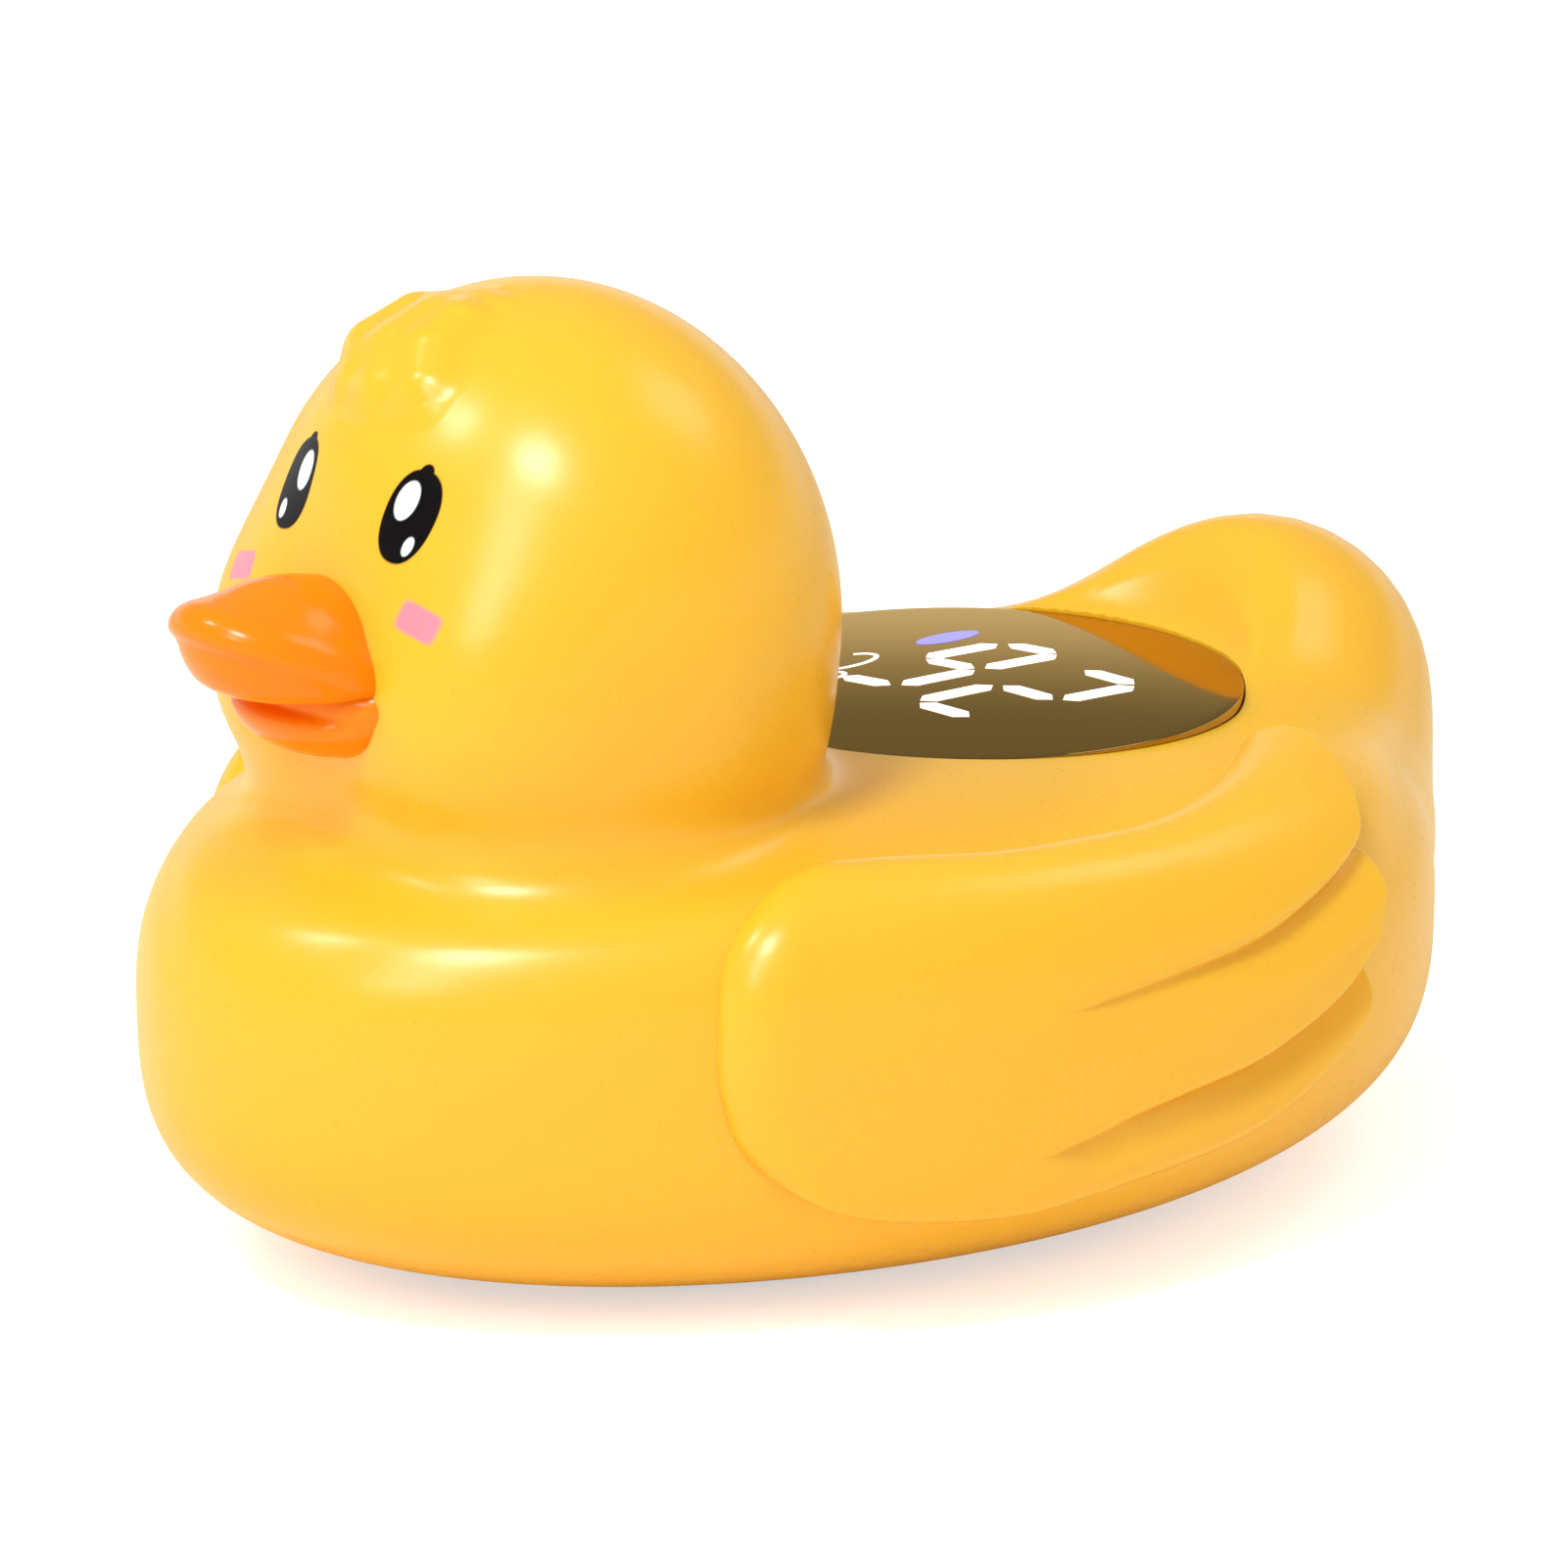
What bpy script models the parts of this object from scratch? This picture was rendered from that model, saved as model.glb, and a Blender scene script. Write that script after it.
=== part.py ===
"""A duck-shaped bath thermometer with a round display in its back.

Metres, +Z up. The duck looks along -Y, its left wing is on +X, and it rests on Z = 0.
Sizes are in millimetres and are turned into metres when a mesh is made.
"""
import math

import bmesh
import bpy
import numpy as np

MM = 0.001

# Clearances
GAP = 0.3               # between pieces that touch
SEAT = 0.05             # between flat faces that lie on each other

# Body of the duck
BODY_Y = -5.5           # middle of the body along the duck
BODY_HALF_LENGTH = 52.3
BODY_HALF_WIDTH = 40.3
BODY_DEPTH = 19.5       # from the widest level to the crown
BODY_MID_Z = 17.9       # widest level
BODY_TAPER = 0.18       # how much wider the rear is
BODY_ROUND_UP = 2.8     # squareness above the widest level
BODY_ROUND_LOW = 3.06   # squareness below it
DECK_Z = 33.2           # flat back around the display
WALL = 2.2
SHOULDER_BLEND = 5.0    # between the flat back and the sides
FLOOR_BLEND = 1.5

# Rump and tail
RUMP_Y, RUMP_Z = BODY_Y + 40.6, 19.2
RUMP_SIZE = (19.1, 17.3, 14.5)
TAIL_Y, TAIL_Z = BODY_Y + 49.8, 28.4
TAIL_SIZE = (12.6, 13.2, 12.2)
RUMP_BLEND, TAIL_BLEND = 8.0, 7.6
TAIL_SLOPE = 1.5        # rise of the slope from the window's rear edge, per millimetre
SLOPE_BLEND = 3.0

# Head and neck
HEAD_Y, HEAD_Z = BODY_Y - 21.2, 45.8
HEAD_SIZE = (22.2, 19.4, 23.2)
CHEEK = (8.8, HEAD_Y - 9.2, HEAD_Z - 7.1)
CHEEK_R = 11.6
NECK_SIZE = (21.8, 17.6)    # half axes of the neck
NECK_Z = DECK_Z + 0.9       # level of the crease between neck and back
CHEEK_BLEND, NECK_BLEND, BACK_BLEND = 9.0, 5.0, 3.5

# Tuft on the forehead: curls given by places across the head and angles above its middle, in degrees
TUFT_R = 2.7
TUFT_SINK = 1.0         # how far a curl's middle line lies under the head's skin
TUFT_BLEND = 1.6
CURL_SHARES = (0.35, 0.85, 1.0, 0.85, 0.42)     # of its radius, from the crown to the brow
CURLS = (((-1.6, 77), (-5.8, 69), (-6.6, 59), (-4.8, 50.5), (-1.2, 46)),
         ((-0.4, 75), (-2.4, 67), (-2.9, 58), (-1.4, 50), (0.8, 47)),
         ((0.9, 75), (0.4, 67), (0.6, 59), (2.2, 52), (3.4, 48)))

# Wings: three feathers in one pad, drawn in plan angle and height angle from a place inside the body
WING_CENTRE = (0.0, BODY_Y - 1.5, BODY_MID_Z)
WING_THICK = 2.4
WING_FULL = 0.5         # how much thicker a wing is at the middle of its length
WING_UNDER = -0.8       # level inside the wall that a wing grows from
FIRST_STEP = 0.95       # how far the second feather's top edge lies under the first feather
SECOND_STEP = 1.75
FIRST_FADE = (0.44, 0.85)       # shares of a wing's length over which a step grows
SECOND_FADE = (0.42, 0.80)
TOP_ROUND, FRONT_ROUND, LOW_ROUND, TIP_ROUND = 5.5, 2.4, 3.0, 1.1
FIRST_ROUND, SECOND_ROUND = 1.6, 1.5
WING_FRONT = ((-35.8, 22.7), (-39.3, 21.0), (-41.8, 18.1), (-43.8, 14.0), (-44.2, 6.4),
              (-43.9, 1.8), (-42.6, -3.0), (-40.2, -6.3), (-37.1, -8.6))
WING_TOP = ((-35.8, 22.7), (-31.6, 23.8), (-20.8, 24.1), (-8.3, 23.1), (1.9, 22.6),
            (12.9, 21.9), (25.0, 21.9), (37.5, 22.0), (47.4, 21.8))
FIRST_GROOVE = ((-44.2, 6.4), (-25.0, 6.2), (-7.9, 7.0), (1.6, 7.9), (12.5, 8.8),
                (18.6, 10.0), (23.9, 11.2), (28.6, 12.5))
SECOND_GROOVE = ((-42.6, -3.0), (-25.0, -7.4), (-9.9, -6.7), (-1.3, -4.7), (7.1, -3.3),
                 (11.9, -2.3), (15.8, -0.7), (19.9, 1.3), (22.9, 3.5), (24.9, 4.7))
WING_BOTTOM = ((-37.1, -8.6), (-33.8, -10.6), (-29.8, -12.4), (-24.5, -13.6), (-13.6, -14.5),
               (-2.6, -13.3), (8.6, -11.4), (14.0, -9.3), (19.5, -5.6), (22.3, -3.6))
FEATHER_TIPS = (((47.4, 21.8), (45.7, 20.4), (42.8, 18.7), (39.2, 17.1), (35.4, 15.6), (31.1, 13.6),
                 (28.6, 12.5)),
                ((28.6, 12.5), (30.3, 12.3), (30.6, 10.5), (29.6, 8.6), (27.7, 6.6), (24.9, 4.7)),
                ((24.9, 4.7), (26.7, 4.2), (27.0, 1.4), (25.5, -1.3), (22.3, -3.6)))

# Bill
FACE_Y = HEAD_Y - HEAD_SIZE[1]
BILL_WIDE = 1.3         # how much wider than high the upper lip is
BILL_ROOT = (FACE_Y - 1.2, HEAD_Z - 0.2, 6.2)      # place along the duck, height, radius
BILL_TIP = (FACE_Y - 10.3, HEAD_Z + 3.9, 1.7)
LOWER_LIP = (FACE_Y - 1.0, HEAD_Z - 3.5)
LOWER_LIP_SIZE = (6.8, 4.9, 4.0)
LIP_BLEND = 0.8
STEM_R = 3.7
STEM_LENGTH = 6.0

# Display
LENS_R = 21.2
LENS_CLEAR = 1.0        # from the neck to the lens's edge
LENS_Y = HEAD_Y + NECK_SIZE[1] + LENS_CLEAR + LENS_R
LENS_THICK = 1.6
LENS_TOP = DECK_Z - 0.3
LENS_DOME = 0.35
TAPE_THICK = 0.2
TAPE_WIDTH = 2.2
HOUSING_WALL = 2.6
HOUSING_HEIGHT = 4.4
FLANGE_WIDTH = 2.6
FLANGE_THICK = 1.5
MASK_THICK = 2.7
GUIDE_THICK = 0.9       # the plate that joins the display's segments
BOARD_THICK = 1.6

# Readout, which fills the free room inside the housing
ROOM_R = LENS_R - HOUSING_WALL
DIGIT_HEIGHT = 0.70 * ROOM_R
DIGIT_WIDTH = 0.355 * ROOM_R
DIGIT_PITCH = 0.54 * ROOM_R
SEGMENT = 0.08 * ROOM_R
SMALL_HEIGHT = 0.43 * ROOM_R        # the letter C
SMALL_WIDTH = 0.27 * ROOM_R
RING_R = 0.086 * ROOM_R             # the degree ring
LAMP_SIZE = (0.14 * ROOM_R, 0.08 * ROOM_R)
LAMP_AT = (-0.495 * ROOM_R, 0.538 * ROOM_R)     # from the lens's axis
DIGIT_AFT = 0.08 * ROOM_R           # how far the digits lie behind the axis

# Board parts
CHIP = (8.0, 8.0, 1.4)
CAPACITOR_R = 2.5
CAPACITOR_LENGTH = 5.4
CHIP_AT = (0.0, -4.0)           # from the lens's axis
CAPACITOR_AT = (9.5, 6.0)
BOARD_SCREW_R = 0.7
BOARD_SCREW_HEAD_R = 1.3
BOARD_SCREW_LENGTH = 4.2

# Underside
BASE_Y = BODY_Y
OPENING = (18.5, 25.9)  # half axes of the opening
LEDGE = 4.9             # width of the ledge that the base plate lies on
FOOT_RING = 1.4         # flat ring outside the base plate
RIM_HEIGHT = 9.0        # height of the moulded rim round the opening
BASE_THICK = 2.6
BASE_SCREW_R = 1.0
BASE_SCREW_HEAD_R = 1.9
BASE_SCREW_HEAD = 1.2
BASE_SCREW_LENGTH = 5.5

# Cell and its bay
CELL_R = 10.0
CELL_THICK = 3.2
CELL_Y = BASE_Y + 6.0
BAY_WALL = 1.4
BAY_SPARE = 1.3         # room above the cell for the spring
CELL_GAP = 0.8
COVER_THICK = 1.8
COVER_LIP = 2.4
COVER_SCREW_R = 0.9
COVER_SCREW_HEAD_R = 1.7
CONTACT_THICK = 0.3
CONTACT_WIDTH = 3.0

# Probe and studs
PROBE_Y = BASE_Y - 17.0
PROBE_R = 3.4
PROBE_HEIGHT = 5.2
PROBE_WALL = 0.4
BOSS_WALL = 1.3
STUD_X, STUD_Y = 8.5, BASE_Y - 10.5
STUD_R = 1.3
STUD_HEAD_R = 2.2
STUD_HEAD = 0.8
STUD_LENGTH = 6.0
LEAD_R = 0.6
LEAD_RISE = 3.0         # straight rise above a terminal
BOARD_TERMINALS_Y = LENS_Y - 10.0   # row of solder points on the board

# Mesh fineness
COLUMNS = 64
ROUND = 36
FEATHER_COLUMNS = 30
FEATHER_ROWS = 9


DECK_UNDER = DECK_Z - WALL - 0.1   # level that the display's flange lies against


# Small maths on whole arrays

def soft_min(a, b, k):
    h = np.clip(k - np.abs(a - b), 0, None) / k
    return np.minimum(a, b) - h * h * k * 0.25


def soft_max(a, b, k):
    return -soft_min(-a, -b, k)


def ellipsoid(p, centre, size):
    q = (p - np.array(centre)) / np.array(size)
    near = np.linalg.norm(q, axis=-1)
    steep = np.linalg.norm(q / np.array(size), axis=-1)
    return near * (near - 1) / np.maximum(steep, 1e-9)


def smooth_step(a, b, x):
    t = np.clip((x - a) / (b - a), 0, 1)
    return t * t * (3 - 2 * t)


def mirror_x(p):
    return np.stack([np.abs(p[..., 0]), p[..., 1], p[..., 2]], -1)


def body_field(p):
    """Below zero inside the body: a squared-off ellipsoid, flat above and below."""
    x, y, z = p[..., 0], p[..., 1] - BODY_Y, p[..., 2]
    half_width = BODY_HALF_WIDTH * (1 + BODY_TAPER * y / BODY_HALF_LENGTH)
    power = np.where(z > BODY_MID_Z, BODY_ROUND_UP, BODY_ROUND_LOW)
    plan = ((x / half_width) ** 2 + (y / BODY_HALF_LENGTH) ** 2) ** (power / 2)
    total = plan + (np.abs(z - BODY_MID_Z) / BODY_DEPTH) ** power
    crown = (total ** (1 / power) - 1) * BODY_DEPTH
    return soft_max(soft_max(crown, z - DECK_Z, SHOULDER_BLEND), -z, FLOOR_BLEND)


def skin_field(p):
    """The whole duck without its bill and wings."""
    m = mirror_x(p)
    body = body_field(p)
    rump = soft_max(ellipsoid(m, (0, RUMP_Y, RUMP_Z), RUMP_SIZE), -p[..., 2], FLOOR_BLEND)
    body = soft_min(body, rump, RUMP_BLEND)
    body = soft_min(body, ellipsoid(m, (0, TAIL_Y, TAIL_Z), TAIL_SIZE), TAIL_BLEND)
    body = soft_max(body, over_slope(p), SLOPE_BLEND)
    return soft_min(body, head_field(p), BACK_BLEND)


def over_slope(p):
    """Above zero over the slope that rises from the window's rear edge to the tail."""
    behind = p[..., 1] - LENS_Y
    out = np.clip(np.hypot(p[..., 0], behind) - LENS_R - GAP, 0, None)
    over = (p[..., 2] - DECK_Z - TAIL_SLOPE * out) / math.hypot(1, TAIL_SLOPE)
    return over - 30.0 * smooth_step(2.0, -12.0, behind)


def head_field(p):
    m = mirror_x(p)
    head = ellipsoid(m, (0, HEAD_Y, HEAD_Z), HEAD_SIZE)
    head = soft_min(head, ellipsoid(m, CHEEK, (CHEEK_R,) * 3), CHEEK_BLEND)
    around = np.hypot(p[..., 0] / NECK_SIZE[0], (p[..., 1] - HEAD_Y) / NECK_SIZE[1]) - 1
    neck = np.maximum(around * NECK_SIZE[1], np.abs(p[..., 2] - 30) - 12)
    head = soft_min(head, neck, NECK_BLEND)
    for curl in CURLS:
        head = soft_min(head, curl_field(p, curl), TUFT_BLEND)
    return head


def curl_field(p, curl):
    """A curl that lies on the head and thins out at both ends."""
    place = []
    for across, rise in curl:
        level = math.sqrt(1 - (across / HEAD_SIZE[0]) ** 2)
        depth = (HEAD_SIZE[1] - TUFT_SINK) * level * math.cos(math.radians(rise))
        height = (HEAD_SIZE[2] - TUFT_SINK) * level * math.sin(math.radians(rise))
        place.append((across, HEAD_Y - depth, HEAD_Z + height))
    radius = [TUFT_R * share for share in CURL_SHARES]
    parts = [round_cone(p, place[i], place[i + 1], radius[i], radius[i + 1]) for i in range(len(place) - 1)]
    return np.minimum.reduce(parts)


def round_cone(p, first, last, first_r, last_r):
    """A cone with round ends."""
    axis = np.array(last, float) - np.array(first, float)
    along = np.clip(((p - np.array(first)) @ axis) / (axis @ axis), 0, 1)
    radius = first_r + (last_r - first_r) * along
    return np.linalg.norm(p - np.array(first) - along[..., None] * axis, axis=-1) - radius


def bill_field(p):
    """Two lips: a tapering upper one with its tip turned up, and a short lower one."""
    m = mirror_x(p)
    narrow = m / np.array([BILL_WIDE, 1, 1])
    upper = round_cone(narrow, (0, *BILL_ROOT[:2]), (0, *BILL_TIP[:2]), BILL_ROOT[2], BILL_TIP[2])
    lower = ellipsoid(m, (0, *LOWER_LIP), LOWER_LIP_SIZE)
    return np.maximum(soft_min(upper, lower, LIP_BLEND), GAP - head_field(p))


def first_hit(field, origin, direction, reach, steps=70):
    """Distance along each ray at which it first leaves the solid."""
    t = np.linspace(0, reach, steps)
    value = field(origin[..., None, :] + direction[..., None, :] * t[:, None])
    out = np.argmax(value > 0, axis=-1)
    low, high = t[np.maximum(out - 1, 0)], t[out]
    for _ in range(22):
        mid = (low + high) / 2
        inside = field(origin + direction * mid[..., None]) < 0
        low = np.where(inside, mid, low)
        high = np.where(inside, high, mid)
    return (low + high) / 2


def normals(field, p, e=0.05):
    n = np.zeros_like(p)
    for i in range(3):
        d = np.zeros(3)
        d[i] = e
        n[..., i] = field(p + d) - field(p - d)
    return n / np.maximum(np.linalg.norm(n, axis=-1, keepdims=True), 1e-9)


def turn_between(a, b, t):
    """Directions that turn evenly from a to b."""
    dot = np.clip((a * b).sum(-1), -1, 1)[..., None]
    angle = np.arccos(dot)
    s = np.maximum(np.sin(angle), 1e-6)
    return (np.sin((1 - t) * angle) * a + np.sin(t * angle) * b) / s


# Mesh helpers

def material(name, colour, rough=0.4, metal=0.0, alpha=1.0):
    found = bpy.data.materials.get(name)
    if found:
        return found
    made = bpy.data.materials.new(name)
    made.use_nodes = True
    shader = made.node_tree.nodes["Principled BSDF"]
    shader.inputs["Base Color"].default_value = (*colour, 1)
    shader.inputs["Roughness"].default_value = rough
    shader.inputs["Metallic"].default_value = metal
    shader.inputs["Alpha"].default_value = alpha
    return made


def add_object(name, mesh, mat, at=(0, 0, 0), turn=(0, 0, 0), sharp=35.0):
    made = bpy.data.objects.new(name, mesh)
    bpy.context.scene.collection.objects.link(made)
    made.location = [v * MM for v in at]
    made.rotation_euler = [math.radians(v) for v in turn]
    if mat:
        mesh.materials.append(mat)
    mesh.shade_smooth()
    mesh.set_sharp_from_angle(angle=math.radians(sharp))
    return made


def mesh_of(name, points, faces):
    mesh = bpy.data.meshes.new(name)
    mesh.from_pydata((np.asarray(points) * MM).tolist(), [], faces)
    mesh.validate()
    return mesh


def in_triangles(mesh):
    """Flat faces only, which a Boolean cuts cleanly."""
    work = bmesh.new()
    work.from_mesh(mesh)
    bmesh.ops.triangulate(work, faces=work.faces)
    work.to_mesh(mesh)
    work.free()
    return mesh


def outward(mesh):
    work = bmesh.new()
    work.from_mesh(mesh)
    bmesh.ops.remove_doubles(work, verts=work.verts, dist=MM * 0.002)
    bmesh.ops.recalc_face_normals(work, faces=work.faces)
    work.to_mesh(mesh)
    work.free()
    return mesh


def ring_faces(rows, columns, start=0):
    """Quads between closed rows of points that run anticlockwise seen from the end they grow to."""
    faces = []
    for r in range(rows - 1):
        for c in range(columns):
            a = start + r * columns + c
            b = start + r * columns + (c + 1) % columns
            faces.append((a, b, b + columns, a + columns))
    return faces


def turned(name, profile, mat, at=(0, 0, 0), turn=(0, 0, 0), sides=ROUND):
    """A turned piece: closed profile of (radius, height) points, anticlockwise in the R-Z plane."""
    angle = np.arange(sides) / sides * 2 * math.pi
    points = []
    index = []
    for r, z in profile:
        if r < 1e-6:
            index.append([len(points)] * sides)
            points.append((0, 0, z))
        else:
            index.append(list(range(len(points), len(points) + sides)))
            points += [(r * math.cos(a), r * math.sin(a), z) for a in angle]
    faces = []
    count = len(profile)
    for i in range(count):
        low, high = index[i], index[(i + 1) % count]
        for c in range(sides):
            n = (c + 1) % sides
            corners = [low[c], low[n], high[n], high[c]]
            unique = list(dict.fromkeys(corners))
            if len(unique) > 2:
                faces.append(unique)
    return add_object(name, mesh_of(name, points, faces), mat, at, turn)


def outline_prism(outline, low, high):
    """Points and faces of an upright prism on an anticlockwise outline."""
    n = len(outline)
    points = [(x, y, low) for x, y in outline] + [(x, y, high) for x, y in outline]
    faces = [tuple(reversed(range(n))), tuple(range(n, 2 * n))]
    faces += [(i, (i + 1) % n, n + (i + 1) % n, n + i) for i in range(n)]
    return points, faces


def prism(name, outline, low, high, mat=None, at=(0, 0, 0)):
    points, faces = outline_prism(outline, low, high)
    return add_object(name, mesh_of(name, points, faces), mat, at)


def oval(half_x, half_y, power=2.0, sides=ROUND, centre=(0, 0)):
    a = np.arange(sides) / sides * 2 * math.pi
    c, s = np.cos(a), np.sin(a)
    x = half_x * np.sign(c) * np.abs(c) ** (2 / power)
    y = half_y * np.sign(s) * np.abs(s) ** (2 / power)
    return [(float(u + centre[0]), float(v + centre[1])) for u, v in zip(x, y)]


def box_outline(width, depth, centre=(0, 0)):
    w, d = width / 2, depth / 2
    cx, cy = centre
    return [(cx - w, cy - d), (cx + w, cy - d), (cx + w, cy + d), (cx - w, cy + d)]


def combine(base, cutter, how):
    """Cut or join with a Boolean that is applied at once."""
    cutter.hide_render = True
    cutter.display_type = "WIRE"
    step = base.modifiers.new(how.lower(), "BOOLEAN")
    step.operation = how
    step.solver = "EXACT"
    step.object = cutter
    bpy.context.view_layer.update()
    graph = bpy.context.evaluated_depsgraph_get()
    result = bpy.data.meshes.new_from_object(base.evaluated_get(graph))
    base.modifiers.clear()
    base.data = result
    bpy.data.objects.remove(cutter)
    base.data.shade_smooth()
    base.data.set_sharp_from_angle(angle=math.radians(35))


def tube(name, points, radius, mat):
    """A lead: a bevelled curve through a smooth route, with closed ends."""
    route = np.array(points, float)
    ends = np.concatenate([[2 * route[0] - route[1]], route, [2 * route[-1] - route[-2]]])
    smooth = []
    for i in range(1, len(ends) - 2):
        p0, p1, p2, p3 = ends[i - 1], ends[i], ends[i + 1], ends[i + 2]
        for t in np.linspace(0, 1, 4, endpoint=False):
            smooth.append(0.5 * (2 * p1 + (p2 - p0) * t + (2 * p0 - 5 * p1 + 4 * p2 - p3) * t * t
                                 + (3 * p1 - p0 - 3 * p2 + p3) * t ** 3))
    smooth.append(ends[-2])
    curve = bpy.data.curves.new(name, "CURVE")
    curve.dimensions = "3D"
    curve.bevel_depth = radius * MM
    curve.bevel_resolution = 2
    curve.use_fill_caps = True
    line = curve.splines.new("POLY")
    line.points.add(len(smooth) - 1)
    for point, place in zip(line.points, smooth):
        point.co = (*[float(v) * MM for v in place], 1)
    made = bpy.data.objects.new(name, curve)
    bpy.context.scene.collection.objects.link(made)
    curve.materials.append(mat)
    return made


def screw_profile(shank_r, head_r, head, length):
    """A screw whose head lies on its underside at height 0 and whose shank points up."""
    return [(0, 0), (head_r * 0.8, 0), (head_r, head * 0.35), (head_r, head),
            (shank_r, head), (shank_r, head + length - shank_r * 0.6),
            (shank_r * 0.5, head + length), (0, head + length)]


for item in list(bpy.data.objects):
    bpy.data.objects.remove(item, do_unlink=True)
bpy.context.scene.unit_settings.system = "METRIC"

yellow = material("body yellow plastic", (0.98, 0.62, 0.09), 0.32)
orange = material("bill orange plastic", (0.95, 0.32, 0.04), 0.22)
smoked = material("smoked lens", (0.20, 0.15, 0.09), 0.08)
tape_black = material("adhesive tape", (0.04, 0.04, 0.04), 0.7)
cream = material("housing plastic", (0.93, 0.90, 0.82), 0.45)
mask_dark = material("mask plastic", (0.03, 0.03, 0.035), 0.6)
glow = material("lit segments", (0.95, 0.97, 1.0), 0.35)
violet = material("lamp violet", (0.35, 0.30, 1.0), 0.3)
board_green = material("board laminate", (0.03, 0.22, 0.10), 0.4)
chip_black = material("chip epoxy", (0.02, 0.02, 0.02), 0.5)
steel = material("steel", (0.72, 0.72, 0.72), 0.28, 1.0)
rubber = material("seal rubber", (0.72, 0.70, 0.66), 0.8)
red = material("lead red", (0.7, 0.03, 0.02), 0.5)
black = material("lead black", (0.03, 0.03, 0.03), 0.5)


# Duck body: outer rows from the ledge round the base plate to the crown, inner rows back down

angle = np.arange(COLUMNS) / COLUMNS * 2 * math.pi
unit = np.stack([np.cos(angle), np.sin(angle)], -1)


def floor_ring(grow, z):
    plan = np.array(OPENING) + grow
    return np.stack([unit[:, 0] * plan[0], unit[:, 1] * plan[1] + BASE_Y, np.full(COLUMNS, z)], -1)


foot = floor_ring(LEDGE + FOOT_RING, 0.0)
low_origin = np.array([0.0, BODY_Y - 2.5, BODY_MID_Z - 1.9])
high_origin = np.array([0.0, HEAD_Y, HEAD_Z - 0.8])
neck_plan = unit * NECK_SIZE + (0, HEAD_Y)
neck_ring = np.column_stack([neck_plan, np.full(COLUMNS, NECK_Z)])


def unit_rows(v):
    return v / np.linalg.norm(v, axis=-1, keepdims=True)


def rows_between(start_origin, end_origin, first, last, steps):
    """Rows of surface points reached by turning the rays from one ring to another."""
    made = []
    for t in steps:
        origin = start_origin + (end_origin - start_origin) * smooth_step(0.5, 1.0, t)
        direction = turn_between(unit_rows(first - origin), unit_rows(last - origin), t)
        start = np.broadcast_to(origin, direction.shape)
        hit = first_hit(skin_field, start, direction, 85.0)
        made.append(start + direction * hit[:, None])
    return made


neck_origin = np.array([0.0, HEAD_Y + 5.0, 27.0])
body_steps = np.concatenate([[0.06, 0.12], np.linspace(0.19, 0.97, 17)])
head_steps = np.linspace(0.08, 0.93, 11)
crown = np.broadcast_to(high_origin + np.array([0, 0, 30.0]), neck_ring.shape)
outer = rows_between(low_origin, neck_origin, foot, neck_ring, body_steps)
outer += rows_between(high_origin, high_origin, neck_ring, crown, head_steps)
picked = outer[2::2]
inner = []
for row in picked:
    inside = row - WALL * normals(skin_field, row)
    reach = np.hypot(inside[:, 0], inside[:, 1] - LENS_Y)
    over_display = (reach < LENS_R + 6.0) & (row[:, 1] > LENS_Y - LENS_R + 2.0)
    inside[:, 2] = np.where(over_display, np.minimum(inside[:, 2], DECK_UNDER), inside[:, 2])
    inner.append(inside)

rows = [floor_ring(0, BASE_THICK + GAP), floor_ring(LEDGE, BASE_THICK + GAP), floor_ring(LEDGE, 0.0), foot]
rows += outer
top_z = float(first_hit(skin_field, high_origin[None], np.array([[0, 0, 1.0]]), 60.0)[0]) + high_origin[2]
rim = [floor_ring(LEDGE + FOOT_RING * 0.2, WALL + 1.6), floor_ring(LEDGE * 0.9, RIM_HEIGHT),
       floor_ring(0, RIM_HEIGHT)]
count = len(rows)
points = np.concatenate(rows)
top = len(points)
points = np.concatenate([points, [[0, HEAD_Y, top_z]]])
faces = ring_faces(count, COLUMNS)
last = (count - 1) * COLUMNS
faces += [(last + c, last + (c + 1) % COLUMNS, top) for c in range(COLUMNS)]
down = list(reversed(inner)) + rim
under = len(points)
points = np.concatenate([points, [[0, HEAD_Y, top_z - WALL]]] + down)
first = under + 1
faces += [(under, first + (c + 1) % COLUMNS, first + c) for c in range(COLUMNS)]
faces += ring_faces(len(down), COLUMNS, first)
end = first + (len(down) - 1) * COLUMNS
faces += [(end + c, end + (c + 1) % COLUMNS, (c + 1) % COLUMNS, c) for c in range(COLUMNS)]
duck = add_object("duck_body", in_triangles(mesh_of("duck_body", points, faces)), yellow, sharp=50)


# Wings, which grow out of the body's wall

def quarter_round(distance, radius):
    """0 at an edge and 1 from the radius on, rising as a quarter of a circle."""
    t = 1 - np.clip(distance / radius, 0, 1)
    return np.sqrt(np.clip(1 - t * t, 0, 1))


def along_curve(places, where):
    """A smooth curve through places, read at shares of its length."""
    places = np.array(places, float)
    ends = np.concatenate([[2 * places[0] - places[1]], places, [2 * places[-1] - places[-2]]])
    t = np.linspace(0, 1, 12, endpoint=False)[:, None]
    parts = []
    for a, b, c, d in zip(ends[:-3], ends[1:-2], ends[2:-1], ends[3:]):
        parts.append(0.5 * (2 * b + (c - a) * t + (2 * a - 5 * b + 4 * c - d) * t ** 2
                            + (3 * b - a - 3 * c + d) * t ** 3))
    line = np.concatenate(parts + [places[-1:]])
    along = np.concatenate([[0], np.cumsum(np.linalg.norm(np.diff(line, axis=0), axis=-1))])
    return np.stack([np.interp(where * along[-1], along, line[:, k]) for k in range(2)], -1)


def clustered(count):
    """Shares from 0 to 1 that crowd towards both ends."""
    return 0.5 - 0.5 * np.cos(np.linspace(0, math.pi, count))


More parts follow.
